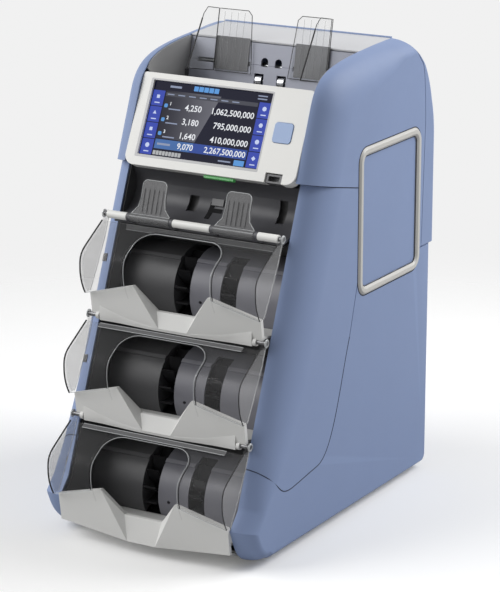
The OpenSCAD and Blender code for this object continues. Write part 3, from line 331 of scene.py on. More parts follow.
FINISHES = {
    "painted_blue": dict(colour=(0.230, 0.297, 0.476), rough=0.50, grain=1500, bump=0.10, mottle=0.03,
                         edge=0.10, gloss=0.22),
    "cream": dict(colour=(0.815, 0.812, 0.785), rough=0.42, grain=1300, bump=0.08, mottle=0.02, edge=0.05),
    "tray_grey": dict(colour=(0.675, 0.675, 0.66), rough=0.45, grain=1400, bump=0.10, mottle=0.03,
                      edge=0.06),
    "trim_grey": dict(colour=(0.54, 0.53, 0.50), rough=0.38, grain=1200, bump=0.08, mottle=0.03,
                      edge=0.08),
    "lavender": dict(colour=(0.40, 0.415, 0.49), rough=0.42, grain=1200, bump=0.08, mottle=0.03,
                     edge=0.06),
    "charcoal": dict(colour=(0.050, 0.050, 0.052), rough=0.48, grain=1100, bump=0.16, mottle=0.10,
                     edge=0.05),
    # Painted shade: the top cover's cream made darker, because the lamps light the top more strongly than the
    # other faces.
    "top_cream_shaded": dict(colour=(0.535, 0.54, 0.56), rough=0.45, grain=1300, bump=0.08, mottle=0.02,
                      edge=0.05),
    "drum_dark": dict(colour=(0.085, 0.085, 0.089), rough=0.46, grain=1100, bump=0.14, mottle=0.08,
                      edge=0.05),
    "guide_grey": dict(colour=(0.215, 0.215, 0.245), rough=0.40, grain=1200, bump=0.10, mottle=0.05,
                       edge=0.06),
    "black_rubber": dict(colour=(0.008, 0.008, 0.009), rough=0.75, grain=900, bump=0.25, mottle=0.2,
                         edge=0.02, gloss=0.15),
    "steel": dict(colour=(0.50, 0.51, 0.52), rough=0.32, grain=600, bump=0.10, mottle=0.06, metal=1.0,
                  stretch=(0.05, 1, 1)),
    "chrome": dict(colour=(0.50, 0.51, 0.53), rough=0.14, grain=500, bump=0.02, mottle=0.02, metal=1.0,
                   spread=0.05),
    "bronze": dict(colour=(0.52, 0.36, 0.16), rough=0.45, grain=1000, bump=0.15, mottle=0.12, metal=1.0),
    "smoke": dict(colour=(0.20, 0.20, 0.205), rough=0.05, grain=300, bump=0.01, mottle=0.10, edge=0.0,
                  alpha=0.10, ior=1.45, gloss=0.22, spread=0.03),
    "clear": dict(colour=(0.55, 0.57, 0.59), rough=0.06, grain=300, bump=0.01, mottle=0.04, edge=0.0,
                  alpha=0.06, ior=1.6, spread=0.03),
    "finger_smoke": dict(colour=(0.19, 0.19, 0.195), rough=0.26, grain=500, bump=0.03, mottle=0.10,
                         alpha=0.62, gloss=0.3, spread=0.05),
    "screen": dict(colour=(0.006, 0.0065, 0.014), rough=0.10, grain=200, bump=0.004, mottle=0.1, edge=0.0,
                   gloss=0.05, spread=0.03),
    "button_blue": dict(colour=(0.275, 0.385, 0.62), rough=0.34, grain=1300, bump=0.06, mottle=0.03),
    "light_green": dict(colour=(0.05, 0.30, 0.07), rough=0.30, grain=900, bump=0.06, mottle=0.06,
                        glow=((0.05, 0.30, 0.07), 0.25)),
    "black_plastic": dict(colour=(0.018, 0.018, 0.020), rough=0.40, grain=1200, bump=0.15, mottle=0.1),
    "zinc": dict(colour=(0.40, 0.41, 0.41), rough=0.42, grain=260, bump=0.08, mottle=0.12, metal=0.9),
    # Painted highlight: pale lines on the edges of clear parts stand for the light those edges catch; the
    # clear knuckle caps use it too.
    "edge_highlight": dict(colour=(0.62, 0.64, 0.65), rough=0.12, grain=400, bump=0.02, mottle=0.1, edge=0.0,
                       alpha=0.60, ior=1.8, spread=0.05),
    # Painted shade: dark lines on the edges of clear parts stand for the darkness those edges show.
    "edge_shade": dict(colour=(0.025, 0.025, 0.027), rough=0.30, grain=400, bump=0.02, mottle=0.1, edge=0.0,
                      alpha=0.85, gloss=0.3, spread=0.05),
    "hopper_grey": dict(colour=(0.22, 0.22, 0.223), rough=0.46, grain=1100, bump=0.14, mottle=0.08),
    "rod_dark": dict(colour=(0.15, 0.15, 0.155), rough=0.30, grain=600, bump=0.08, mottle=0.06, metal=0.8,
                     stretch=(0.05, 1, 1)),
    "cheek_haze": dict(colour=(0.62, 0.62, 0.625), rough=0.20, grain=400, bump=0.02, mottle=0.08, edge=0.0,
                       alpha=0.12, gloss=0.25, spread=0.05),
    "hem_haze": dict(colour=(0.15, 0.15, 0.155), rough=0.18, grain=400, bump=0.02, mottle=0.08, edge=0.0,
                     alpha=0.75, gloss=0.4, spread=0.05),
    # Painted highlight: lighter strips on the ridges of the dark and the grey rounded guides; the chute tab
    # also takes the dark one.
    "ridge_dark": dict(colour=(0.13, 0.13, 0.135), rough=0.45, grain=1100, bump=0.12, mottle=0.08),
    "ridge_grey": dict(colour=(0.30, 0.30, 0.335), rough=0.42, grain=1200, bump=0.10, mottle=0.05),
    "chute_grey": dict(colour=(0.062, 0.062, 0.070), rough=0.48, grain=1100, bump=0.14, mottle=0.08,
                       edge=0.05),
    "slider_grey": dict(colour=(0.125, 0.125, 0.132), rough=0.46, grain=1100, bump=0.12, mottle=0.08),
    # Painted shade for the seams of the covers and round the trim ring.
    "seam_shade": dict(colour=(0.030, 0.036, 0.055), rough=0.60, grain=900, bump=0.10, mottle=0.1,
                      gloss=0.1),
    "rib_faint": dict(colour=(0.30, 0.30, 0.31), rough=0.20, grain=400, bump=0.02, mottle=0.1, edge=0.0,
                      alpha=0.22, gloss=0.3, spread=0.05),
    # Painted shade: a grey for the border round the display, standing for the bezel's shaded inner bevel.
    "bevel_shade": dict(colour=(0.50, 0.50, 0.51), rough=0.42, grain=1300, bump=0.08, mottle=0.03, edge=0.04),
    "socket_grey": dict(colour=(0.10, 0.10, 0.105), rough=0.42, grain=1200, bump=0.12, mottle=0.08),
}


def make_finishes():
    """Every finish by its name."""
    return {name: moulded(name, **look) for name, look in FINISHES.items()}


def lit(name, colour, shade=0.06, fade=None):
    """A patch of the lit picture: it glows by its colour, a little unevenly, under glossy glass, and may fade
    to another colour between two places across the picture, as the painted reflection does."""
    made, shader, add, link = node_tools(name)
    shader.inputs["Base Color"].default_value = (0.004, 0.004, 0.006, 1)
    shader.inputs["Roughness"].default_value = 0.10
    shader.inputs["Specular IOR Level"].default_value = 0.04
    where = add("ShaderNodeTexCoord")
    noise = add("ShaderNodeTexNoise", Scale=40.0, Detail=2.0)
    link(where.outputs["Object"], noise.inputs["Vector"])
    tone = add("ShaderNodeMix", data_type="RGBA")
    tone.inputs["A"].default_value = [c * (1 - shade) for c in colour] + [1]
    tone.inputs["B"].default_value = [c * (1 + shade) for c in colour] + [1]
    link(noise.outputs["Fac"], tone.inputs["Factor"])
    glow = tone.outputs["Result"]
    if fade:
        far_colour, far_x, near_x = fade
        across = add("ShaderNodeSeparateXYZ")
        ramp = add("ShaderNodeMapRange", interpolation_type="SMOOTHSTEP")
        link(where.outputs["Object"], across.inputs["Vector"])
        link(across.outputs["X"], ramp.inputs["Value"])
        ramp.inputs["From Min"].default_value, ramp.inputs["From Max"].default_value = far_x, near_x
        both = add("ShaderNodeMix", data_type="RGBA")
        both.inputs["A"].default_value = (*far_colour, 1)
        link(glow, both.inputs["B"])
        link(ramp.outputs["Result"], both.inputs["Factor"])
        glow = both.outputs["Result"]
    link(glow, shader.inputs["Emission Color"])
    shader.inputs["Emission Strength"].default_value = 1.0
    return made


# Light, floor and background

BACKGROUND = 0.879


def make_world():
    """Soft light from all round, with a pale background for the camera, gloss and glass."""
    world = bpy.data.worlds.new("studio")
    bpy.context.scene.world = world
    world.use_nodes = True
    tree = world.node_tree
    tree.nodes.clear()
    out = tree.nodes.new("ShaderNodeOutputWorld")
    mix = tree.nodes.new("ShaderNodeMixShader")
    soft, pale = tree.nodes.new("ShaderNodeBackground"), tree.nodes.new("ShaderNodeBackground")
    soft.inputs["Color"].default_value, soft.inputs["Strength"].default_value = (1, 1, 1, 1), 0.25
    pale.inputs["Color"].default_value = (BACKGROUND, BACKGROUND, BACKGROUND, 1)
    rays = tree.nodes.new("ShaderNodeLightPath")
    first, second = tree.nodes.new("ShaderNodeMath"), tree.nodes.new("ShaderNodeMath")
    first.operation = second.operation = "MAXIMUM"
    for source, target in (
            (rays.outputs["Is Camera Ray"], first.inputs[0]), (rays.outputs["Is Glossy Ray"], first.inputs[1]),
            (first.outputs[0], second.inputs[0]), (rays.outputs["Is Transmission Ray"], second.inputs[1]),
            (second.outputs[0], mix.inputs["Fac"]), (soft.outputs[0], mix.inputs[1]),
            (pale.outputs[0], mix.inputs[2]), (mix.outputs[0], out.inputs["Surface"])):
        tree.links.new(source, target)


def make_lamp(name, place, aim, size, power):
    """A square soft box at a place, turned to its aim."""
    lamp = bpy.data.lights.new(name, "AREA")
    lamp.size, lamp.energy = size, power
    obj = bpy.data.objects.new(name, lamp)
    obj.location = place
    obj.rotation_euler = (Vector(aim) - Vector(place)).to_track_quat("-Z", "Y").to_euler()
    bpy.context.scene.collection.objects.link(obj)


def make_floor():
    """A round pale floor that fades into the background away from the machine. It throws less light back
    on the covers than its look to the camera would."""
    rings, spokes = 24, 96
    r = np.linspace(0.02, 3.0, rings)[:, None]
    a = np.linspace(0, 2 * np.pi, spokes, endpoint=False)[None, :]
    points = np.stack([r * np.cos(a), r * np.sin(a), np.zeros((rings, spokes))], -1).reshape(-1, 3)
    faces = grid_quads(rings, spokes, wrap_cols=True).tolist() + [list(range(spokes))]
    mesh = bpy.data.meshes.new("floor")
    mesh.from_pydata(points.tolist(), [], faces)
    floor = bpy.data.objects.new("floor", mesh)
    bpy.context.scene.collection.objects.link(floor)
    made, shader, add, link = node_tools("floor_paper")
    shader.inputs["Emission Color"].default_value = (0.115, 0.115, 0.113, 1)
    rays = add("ShaderNodeLightPath")
    paper = add("ShaderNodeMix", data_type="RGBA")
    paper.inputs["A"].default_value = (0.58, 0.58, 0.58, 1)
    paper.inputs["B"].default_value = (0.86, 0.86, 0.86, 1)
    link(rays.outputs["Is Camera Ray"], paper.inputs["Factor"])
    link(paper.outputs["Result"], shader.inputs["Base Color"])
    link(rays.outputs["Is Camera Ray"], shader.inputs["Emission Strength"])
    shader.inputs["Roughness"].default_value = 0.8
    shader.inputs["Specular IOR Level"].default_value = 0.1
    where = add("ShaderNodeTexCoord")
    away = add("ShaderNodeVectorMath", operation="LENGTH")
    link(where.outputs["Object"], away.inputs[0])
    fade = add("ShaderNodeMapRange", interpolation_type="SMOOTHSTEP")
    for key, value in (("From Min", 0.45), ("From Max", 1.25), ("To Min", 1.0), ("To Max", 0.0)):
        fade.inputs[key].default_value = value
    link(away.outputs["Value"], fade.inputs["Value"])
    link(fade.outputs["Result"], shader.inputs["Alpha"])
    mesh.materials.append(made)


# Moulded blue covers

def inset(outline, shift):
    """Moves each side of a closed outline to its left by its own shift; a corner goes to where its
    two moved sides meet, or half way between their moves where they are nearly in line."""
    step = np.roll(outline, -1, 0) - outline
    normal = np.stack([-step[:, 1], step[:, 0]], 1) / np.linalg.norm(step, axis=1)[:, None]
    before, shift_before = np.roll(normal, 1, 0), np.roll(shift, 1)
    turn = before[:, 0] * normal[:, 1] - before[:, 1] * normal[:, 0]
    mid = before + normal
    mid_size = np.maximum(np.linalg.norm(mid, axis=1), 1e-9)
    soft = (np.abs(turn) < 0.3) & ((before * normal).sum(1) > 0)
    safe = np.where(np.abs(turn) < 1e-9, 1, turn)
    meet = np.stack([shift_before * normal[:, 1] - shift * before[:, 1],
                     shift * before[:, 0] - shift_before * normal[:, 0]], 1) / safe[:, None]
    half = mid / mid_size[:, None] * ((shift_before + shift) / 2)[:, None]
    return outline + np.where(soft[:, None], half, meet)


def dished(outline, inner=None, steps=18):
    """A dished cover on the right side: each point of the outline (d, h, roll) moves to its place on the
    inner outline by 1 - cos a while it goes out by the cover's depth times sin a, for a from 0 to a right
    angle, and a flat side closes it. The inner wall follows the same rule from an outline moved in by the
    wall. The inner outline is the outline moved in by its roll, which is slight along a seam, but for
    points that inner gives."""
    seam = outline[:, 2] <= SEAM
    roll = np.where(seam, SEAM_ROLL, outline[:, 2])
    edge = inset(outline[:, :2], np.where(seam, SEAM_GAP / 2, 0))
    flat, flat_wall = inset(edge, roll), inset(edge, np.maximum(roll, COVER_WALL))
    if inner:
        first, points = inner
        flat[first:first + len(points)] = flat_wall[first:first + len(points)] = points
    edge_wall = inset(edge, np.full(len(edge), COVER_WALL))
    a = np.linspace(0, np.pi / 2, steps + 1)
    move = (1 - np.cos(a))[:, None, None]
    rows = np.concatenate([(edge_wall + move * (flat_wall - edge_wall))[::-1], edge + move * (flat - edge)])
    x = HALF_BAY + np.concatenate([(COVER_T - COVER_WALL) * np.sin(a[::-1]), COVER_T * np.sin(a)])[:, None]
    points = at_side(x, rows[:, :, 0], rows[:, :, 1])
    n, count = len(outline), len(rows)
    return points.reshape(-1, 3), grid_quads(count, n, wrap_cols=True).tolist() + end_caps(count, n)


def front_d(h):
    """How far forward the leaning front line is at height h."""
    return CHIN_TOP[0] - (h - CHIN_TOP[1]) * math.tan(FRONT_LEAN)


def rolled(points, roll):
    """Outline corners with their roll width as a third column."""
    points = np.asarray(points, float).reshape(-1, 2)
    return np.column_stack([points, np.broadcast_to(roll, len(points))])


def ring_corner(sx, sy, a, b):
    """Quarter turn of the trim ring's outline."""
    return rolled(arc(RING_MID + [sx, sy] * (RING_SIZE / 2 - RING_R), RING_R, a, b, 10), SEAM)


def sine_between(a, b):
    """Sine of the angle between two directions."""
    return abs(a[0] * b[1] - a[1] * b[0]) / np.linalg.norm(a) / np.linalg.norm(b)


SEAM_FRONT = np.array([front_d(SEAM_H) + UPPER_PROUD, SEAM_H])
SEAM_BACK = np.array([RING_HIGH[0], SEAM_H - SEAM_DROP])
SEAM_RISE = SEAM_DROP / (SEAM_FRONT[0] - SEAM_BACK[0])
FRONT_TOP_H = SEAM_H - UPPER_PROUD * SEAM_RISE / (1 + SEAM_RISE * math.tan(FRONT_LEAN))
FRONT_TOP = np.array([front_d(FRONT_TOP_H), FRONT_TOP_H])
LOW_SEAM = np.concatenate([bezier([[200, 210], [221, 161], [236, 86], [271, 79.5]], 24),
                           bezier([[322, 72.4], [340, 69.8], [349, 72], [358, 80.7]], 8),
                           [[front_d(105), 105]]])
HOOD_SEAM = np.concatenate([[HOOD_TOP], bezier([HOOD_CORNER, HOOD_CORNER - [4.5, 5.5], [21, BODY_H - 61],
                                                [20, BODY_H - 103]], 16), [[26, HOOD_LOW]]])
TOP_FRONT = np.array([front_d(BODY_H - 48) + UPPER_PROUD, BODY_H - 48])
TOP_BACK = np.array([140, BODY_H - 3.2])
TOP_REAR_ROLL = SEAM_RUN * sine_between([-1, 0], HOOD_CORNER - HOOD_TOP)


def upper_outline():
    """Upper cover: from the seam up the front, over the top, down the hood's seam and round the ring."""
    curve = bezier([TOP_FRONT, TOP_FRONT + 34 * FRONT_UP, TOP_BACK + [75, -5.2], TOP_BACK], 44)
    t = np.linspace(0, 1, 45)
    curve_roll = FRONT_ROLL + (TOP_ROLL - FRONT_ROLL) * np.clip((t - 0.5) / 0.5, 0, 1)
    along = np.linspace(0, 1, 16)[1:-1]
    key = np.array([[*TOP_BACK, TOP_ROLL], [98, BODY_H - 1, (TOP_ROLL + TOP_REAR_ROLL) / 2],
                    [78, BODY_H - 0.5, TOP_REAR_ROLL], [*HOOD_TOP, TOP_REAR_ROLL]])
    top = np.stack([np.interp(along, [0, 0.5, 0.75, 1], key[:, i]) for i in range(3)], 1)
    return np.concatenate([rolled(SEAM_BACK, SEAM), rolled(SEAM_FRONT, FRONT_ROLL), rolled(curve, curve_roll),
                           top, rolled(HOOD_SEAM, SEAM), rolled([RING_LOW[0], HOOD_LOW], SEAM),
                           ring_corner(-1, 1, 180, 90), ring_corner(1, 1, 90, 0)])


def front_outline():
    """Front cover: down the ring, along its curved lower seam and up the rolled front edge."""
    rise = np.linspace(0, 100, 13)
    roll = FRONT_ROLL * np.interp(rise, [0, 25, 60, 100], [0.6, 0.76, 0.9, 1.0])
    h = LOW_SEAM[-1, 1] + rise
    return np.concatenate([rolled(SEAM_BACK, SEAM), rolled([RING_HIGH[0], RING_LOW[1] + RING_R], SEAM),
                           rolled(LOW_SEAM[:-1], SEAM), rolled(np.stack([front_d(h), h], 1), roll),
                           rolled(FRONT_TOP, SEAM)])


def base_outline():
    """Base cover: round the rear corner, along the floor, up the chin and back along the front's seam."""
    chin = bezier([CHIN_END, CHIN_END + [24, 0], CHIN_TIP - [10, 28], CHIN_TIP], 24)
    part = np.linspace(0, 1, 9)[:-1]
    h = CHIN_TOP[1] + part * (LOW_SEAM[-1, 1] - CHIN_TOP[1])
    roll = np.interp(part + 1 / 8, [0, 0.3, 0.65, 1], [CHIN_ROLL, 18, 24, 30])
    corner = arc((REAR_CORNER_R, REAR_CORNER_R), REAR_CORNER_R, 180, 270, 12)
    return np.concatenate([rolled(corner, REAR_ROLL), rolled(chin, CHIN_ROLL),
                           rolled(np.stack([front_d(h), h], 1), roll), rolled(LOW_SEAM[::-1], SEAM),
                           ring_corner(1, -1, 0, -90), ring_corner(-1, -1, 270, 180),
                           rolled([RING_LOW[0], HOOD_LOW], SEAM), rolled([0, HOOD_LOW], REAR_ROLL)])


def mirrored(shape):
    """The same shape on the machine's other side."""
    return shape[0] * [-1, 1, 1], [list(f)[::-1] for f in shape[1]]


def make_covers(finish):
    """The six side covers, each standing for its CAD node. The inner outline is given where the top turns
    back and at the tip of the chin, because a roll of one width would cross itself there."""
    turn_from = TOP_FRONT - FRONT_ROLL * FRONT_OUT
    turn_to = TOP_BACK - [2.6, TOP_ROLL]
    corner = bezier([turn_from, turn_from + 13 * FRONT_UP, turn_to + [34, -2.4], turn_to], 44)
    tip = np.linspace([398.58, 37.11], [400.43, 41.28], 5)[1:4]
    for part, outline, inner in (("upper", upper_outline(), (2, corner)), ("front", front_outline(), None),
                                 ("base", base_outline(), (34, tip))):
        shape = dished(outline, inner)
        for side, made in (("right", shape), ("left", mirrored(shape))):
            shell = add_piece(f"{side}_{part}_shell", made, "chassis", finish["painted_blue"],
                              sharp=30, bevel=0.35)
            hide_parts(f"{side}_{part}_cover")


def hood_shape(steps=12, along=30):
    """The rear hood: its side outline rolls in along the back from the left side, crosses the back
    straight and rolls out to the right side; two flat sides close it, and the seam side is open."""
    fine, first, roll_from, roll_over = 200, 0.2, 0.314, 0.343
    curve = bezier([HOOD_TOP, [12, BODY_H - 26], [-HOOD_STEP, BODY_H - 68], [-HOOD_STEP, BODY_H - 123]], fine)
    t = np.concatenate([[0], np.linspace(first, 1, along)])
    back = curve[(t * fine).astype(int)]
    rim = np.concatenate([back, [[-HOOD_STEP, HOOD_LOW]], HOOD_SEAM[:0:-1]])
    m, n = len(back), len(rim)
    top_roll = SEAM_RUN * sine_between(back[1] - back[0], HOOD_CORNER - HOOD_TOP)
    back_side = np.arange(n) < m
    ramp = np.ones(n)
    ramp[:m] = np.clip((t - roll_from) / roll_over, 0, 1)
    roll = np.where(back_side, top_roll + (HOOD_ROLL - top_roll) * ramp, 0)
    edge = inset(rim, np.where(back_side, 0, SEAM_GAP / 2))
    turns = np.linspace(np.pi / 2, 0, steps + 1)
    count = 2 * len(turns)

    def layer(wall):
        """The hood's points, a wall inside its outer skin."""
        rows = np.stack([inset(edge, np.where(back_side, wall + (roll - wall) * (1 - math.cos(a)), 0))
                         for a in turns])
        reach = HALF_BAY + (COVER_T - wall) * np.sin(turns)
        both = np.concatenate([rows, rows[::-1]])
        x = np.concatenate([-reach, reach[::-1]])[:, None]
        return at_side(x, both[:, :, 0], both[:, :, 1]).reshape(-1, 3)

    skin = [f for f in grid_quads(count, n).tolist() if f[0] % n < m and f[1] % n <= m]
    skin += end_caps(count, n)
    total = count * n
    seam = np.arange(m, n)
    after = (seam + 1) % n
    far = (count - 1) * n
    rows = np.arange(count - 1) * n
    border = np.concatenate([np.stack([far + after, far + seam], 1), np.stack([seam, after], 1),
                             np.stack([rows, rows + n], 1), np.stack([rows + n + m, rows + m], 1)])
    wall_faces = np.concatenate([border, border[:, ::-1] + total], 1).tolist()
    faces = skin + [[i + total for i in f[::-1]] for f in skin] + wall_faces
    points = np.concatenate([layer(0.0), layer(COVER_WALL)])
    used = np.unique(np.concatenate([np.array(f) for f in faces]))
    new = np.zeros(len(points), int)
    new[used] = np.arange(len(used))
    return points[used], [new[np.array(f)].tolist() for f in faces]


def make_hood(finish):
    """The rear hood with its wall, standing for its CAD node."""
    hood = add_piece("rear_hood_shell", hood_shape(), "hood", finish["painted_blue"],
                     sharp=30, bevel=0.5)
    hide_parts("rear_hood")


def make_seam_lines(finish):
    """Dark cords of painted shade that lie in the seams of the covers and round the trim ring, standing for
    the shade in the narrow grooves. A seam's cord follows the roll from its outer edge to the flat, going out
    by sin a while it moves along by 1 - cos a, and then stays on the flat."""
    cord_r, ring_r, sunk = 0.5, 0.45, 0.1
    low_flat, flat = [359.7, 82.4], FRONT_TOP - 49.0 * np.array([1, SEAM_RISE])
    a = np.linspace(0, np.pi / 2, 18)
    out = HALF_BAY + COVER_T * np.concatenate([np.sin(a), [1]]) - sunk

    def seam(edge, flat, rest):
        """A cord along one seam."""
        move = (1 - np.cos(a))[:, None]
        line = np.concatenate([edge + move * (np.asarray(flat) - edge), rest])
        x = np.concatenate([out[:-1], np.full(len(rest), out[-1])])
        return tube(at_side(x, line[:, 0], line[:, 1]), cord_r, 8)

    cords = [seam(LOW_SEAM[-1], low_flat, LOW_SEAM[-2::-1]),
             seam(FRONT_TOP, flat, np.linspace(flat, SEAM_BACK, 8)[1:])]
    for size, r in ((RING_SIZE + 0.2, RING_R), (RING_SIZE - 21.2, RING_R - 10.5)):
        loop = round_rect(*(RING_MID - size / 2), *(RING_MID + size / 2), r)
        cords.append(tube(at_side(HALF_BAY + COVER_T, loop[:, 0], loop[:, 1]), ring_r, 8, True))
    right = stack(cords)
    add_piece("seam_shade_cords", stack([right, mirrored(right)]), "chassis", finish["seam_shade"])


# CAD pieces that keep their shape

CAD_FINISH = {
    "painted_blue": ["left_insert_panel", "right_insert_panel", "rear_panel"],
    "cream": ["display_bezel", "bar_sleeves"],
    "top_cream_shaded": ["top_cover"],
    "tray_grey": ["tray_1", "tray_2", "tray_3"],
    "trim_grey": ["left_trim_ring", "right_trim_ring"],
    "lavender": ["hopper_back_plate"],
    "hopper_grey": ["left_hopper_wall", "right_hopper_wall"],
    "charcoal": ["hopper_floor", "left_frame", "right_frame"],
    "slider_grey": ["left_guide_slider", "right_guide_slider"],
    "chute_grey": ["reject_chute"],
    "drum_dark": ["dark_guide_1", "dark_guide_2", "dark_guide_3"],
    "guide_grey": ["grey_guide_1", "grey_guide_2", "grey_guide_3"],
    "black_rubber": ["feet", "stacker_wheels_1", "stacker_wheels_2", "stacker_wheels_3", "pickup_rollers"],
    "rod_dark": ["hinge_rods"],
    "steel": ["stacker_shaft_1", "stacker_shaft_2", "stacker_shaft_3", "guide_rail"],
    "chrome": ["gate_rollers"],
    "bronze": ["shaft_bushes"],
    "smoke": ["visor_1", "visor_2", "visor_3"],
    "clear": ["left_note_guide", "right_note_guide"],
    "finger_smoke": ["left_reject_finger", "right_reject_finger"],
    "screen": ["display_screen"],
    "button_blue": ["start_button"],
    "light_green": ["status_light"],
    "socket_grey": ["usb_socket"],
    "black_plastic": ["mains_inlet", "power_switch"],
    "zinc": ["base_plate", "power_supply"],
}
EDGE_RADIUS = {"display_bezel": 1.2, "start_button": 1.0, "tray_1": 1.6, "tray_2": 1.6, "tray_3": 1.6,
               "left_trim_ring": 0.6, "right_trim_ring": 0.6, "visor_1": 0.5, "visor_2": 0.5, "visor_3": 0.5,
               "left_note_guide": 0.5, "right_note_guide": 0.5, "feet": 0.6, "top_cover": 0.8,
               "left_reject_finger": 0.6, "right_reject_finger": 0.6}
PLAIN_EDGE, EDGE_ANGLE = 0.35, math.radians(38)


def smooth_group():
    """Geometry nodes that shade a mesh smooth but for its sharp edges."""
    group = bpy.data.node_groups.new("smooth_by_angle", "GeometryNodeTree")
    group.interface.new_socket("Geometry", in_out="INPUT", socket_type="NodeSocketGeometry")
    group.interface.new_socket("Geometry", in_out="OUTPUT", socket_type="NodeSocketGeometry")
    start, end = group.nodes.new("NodeGroupInput"), group.nodes.new("NodeGroupOutput")
    faces, edges = (group.nodes.new("GeometryNodeSetShadeSmooth") for _ in range(2))
    faces.domain, edges.domain = "FACE", "EDGE"
    angle, limit = group.nodes.new("GeometryNodeInputMeshEdgeAngle"), group.nodes.new("FunctionNodeCompare")
    limit.operation = "LESS_THAN"
    limit.inputs[1].default_value = SHARP_ANGLE
    group.links.new(start.outputs[0], faces.inputs["Geometry"])
    group.links.new(faces.outputs["Geometry"], edges.inputs["Geometry"])
    group.links.new(angle.outputs["Unsigned Angle"], limit.inputs[0])
    group.links.new(limit.outputs["Result"], edges.inputs["Shade Smooth"])
    group.links.new(edges.outputs["Geometry"], end.inputs[0])
    return group


def dress_cad(finish):
    """Gives each CAD node its finish, joins its triangles and rounds its edges."""
    group = smooth_group()
    for slot, names in CAD_FINISH.items():
        for name in names:
            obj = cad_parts[name]
            obj.data.materials.clear()
            obj.data.materials.append(finish[slot])
            weld = obj.modifiers.new("join", "WELD")
            weld.merge_threshold = 2e-6
            flat = obj.modifiers.new("flat", "DECIMATE")
            flat.decimate_type, flat.angle_limit = "DISSOLVE", math.radians(0.4)
            edge = obj.modifiers.new("edges", "BEVEL")
            edge.width, edge.segments = EDGE_RADIUS.get(name, PLAIN_EDGE) / 1000, 2
            edge.limit_method, edge.angle_limit = "ANGLE", EDGE_ANGLE
            smooth = obj.modifiers.new("smooth", "NODES")
            smooth.node_group = group
            even = obj.modifiers.new("even", "WEIGHTED_NORMAL")
            even.keep_sharp = True


# The lit picture on the display

GROUND_Z, REFLECTION_Z, BAND_Z, TILE_Z, CHIP_Z, MARK_Z, FIGURE_Z = 0.03, 0.05, 0.07, 0.08, 0.09, 0.12, 0.16


def figure(text, size, x, y, right=False):
    """Figures as a flat mesh: a text outline made a mesh, then placed on the glass."""
    curve = bpy.data.curves.new("figures", "FONT")
    curve.body, curve.size, curve.resolution_u, curve.offset = text, size, 3, 0.13
    curve.align_x = "RIGHT" if right else "LEFT"
    obj = bpy.data.objects.new("figures", curve)
    bpy.context.scene.collection.objects.link(obj)
    bpy.context.view_layer.update()
    mesh = bpy.data.meshes.new_from_object(obj.evaluated_get(bpy.context.evaluated_depsgraph_get()))
    co = np.zeros(len(mesh.vertices) * 3)
    mesh.vertices.foreach_get("co", co)
    co = co.reshape(-1, 3)
    faces = [list(p.vertices) for p in mesh.polygons]
    bpy.data.objects.remove(obj)
    bpy.data.curves.remove(curve)
    bpy.data.meshes.remove(mesh)
    return on_screen(co[:, 0] + x, co[:, 1] + y, FIGURE_Z), faces


def shape_patch(points, z):
    """A flat patch of the picture with any outline."""
    points = np.asarray(points, float)
    return on_screen(points[:, 0], points[:, 1], z), [list(range(len(points)))]


def patch(x0, y0, x1, y1, z, r=0.4):
    """A flat patch of the picture with slightly round corners."""
    return shape_patch(round_rect(x0, y0, x1, y1, r, 3), z)


def icon(kind, x, y):
    """A plain mark on a tile: a regular outline with as many sides as its kind has."""
    sides, turn = ((18, 0), (4, 45), (3, 90), (4, 45), (4, 0), (12, 15), (6, 0), (8, 22.5))[kind]
    return shape_patch(arc((x, y), 2.7, turn, turn + 360, sides)[:-1], MARK_Z)


def show(name, shape, material):
    """Adds one layer of the picture."""
    add_piece(name, shape, "chassis", material, out=False)


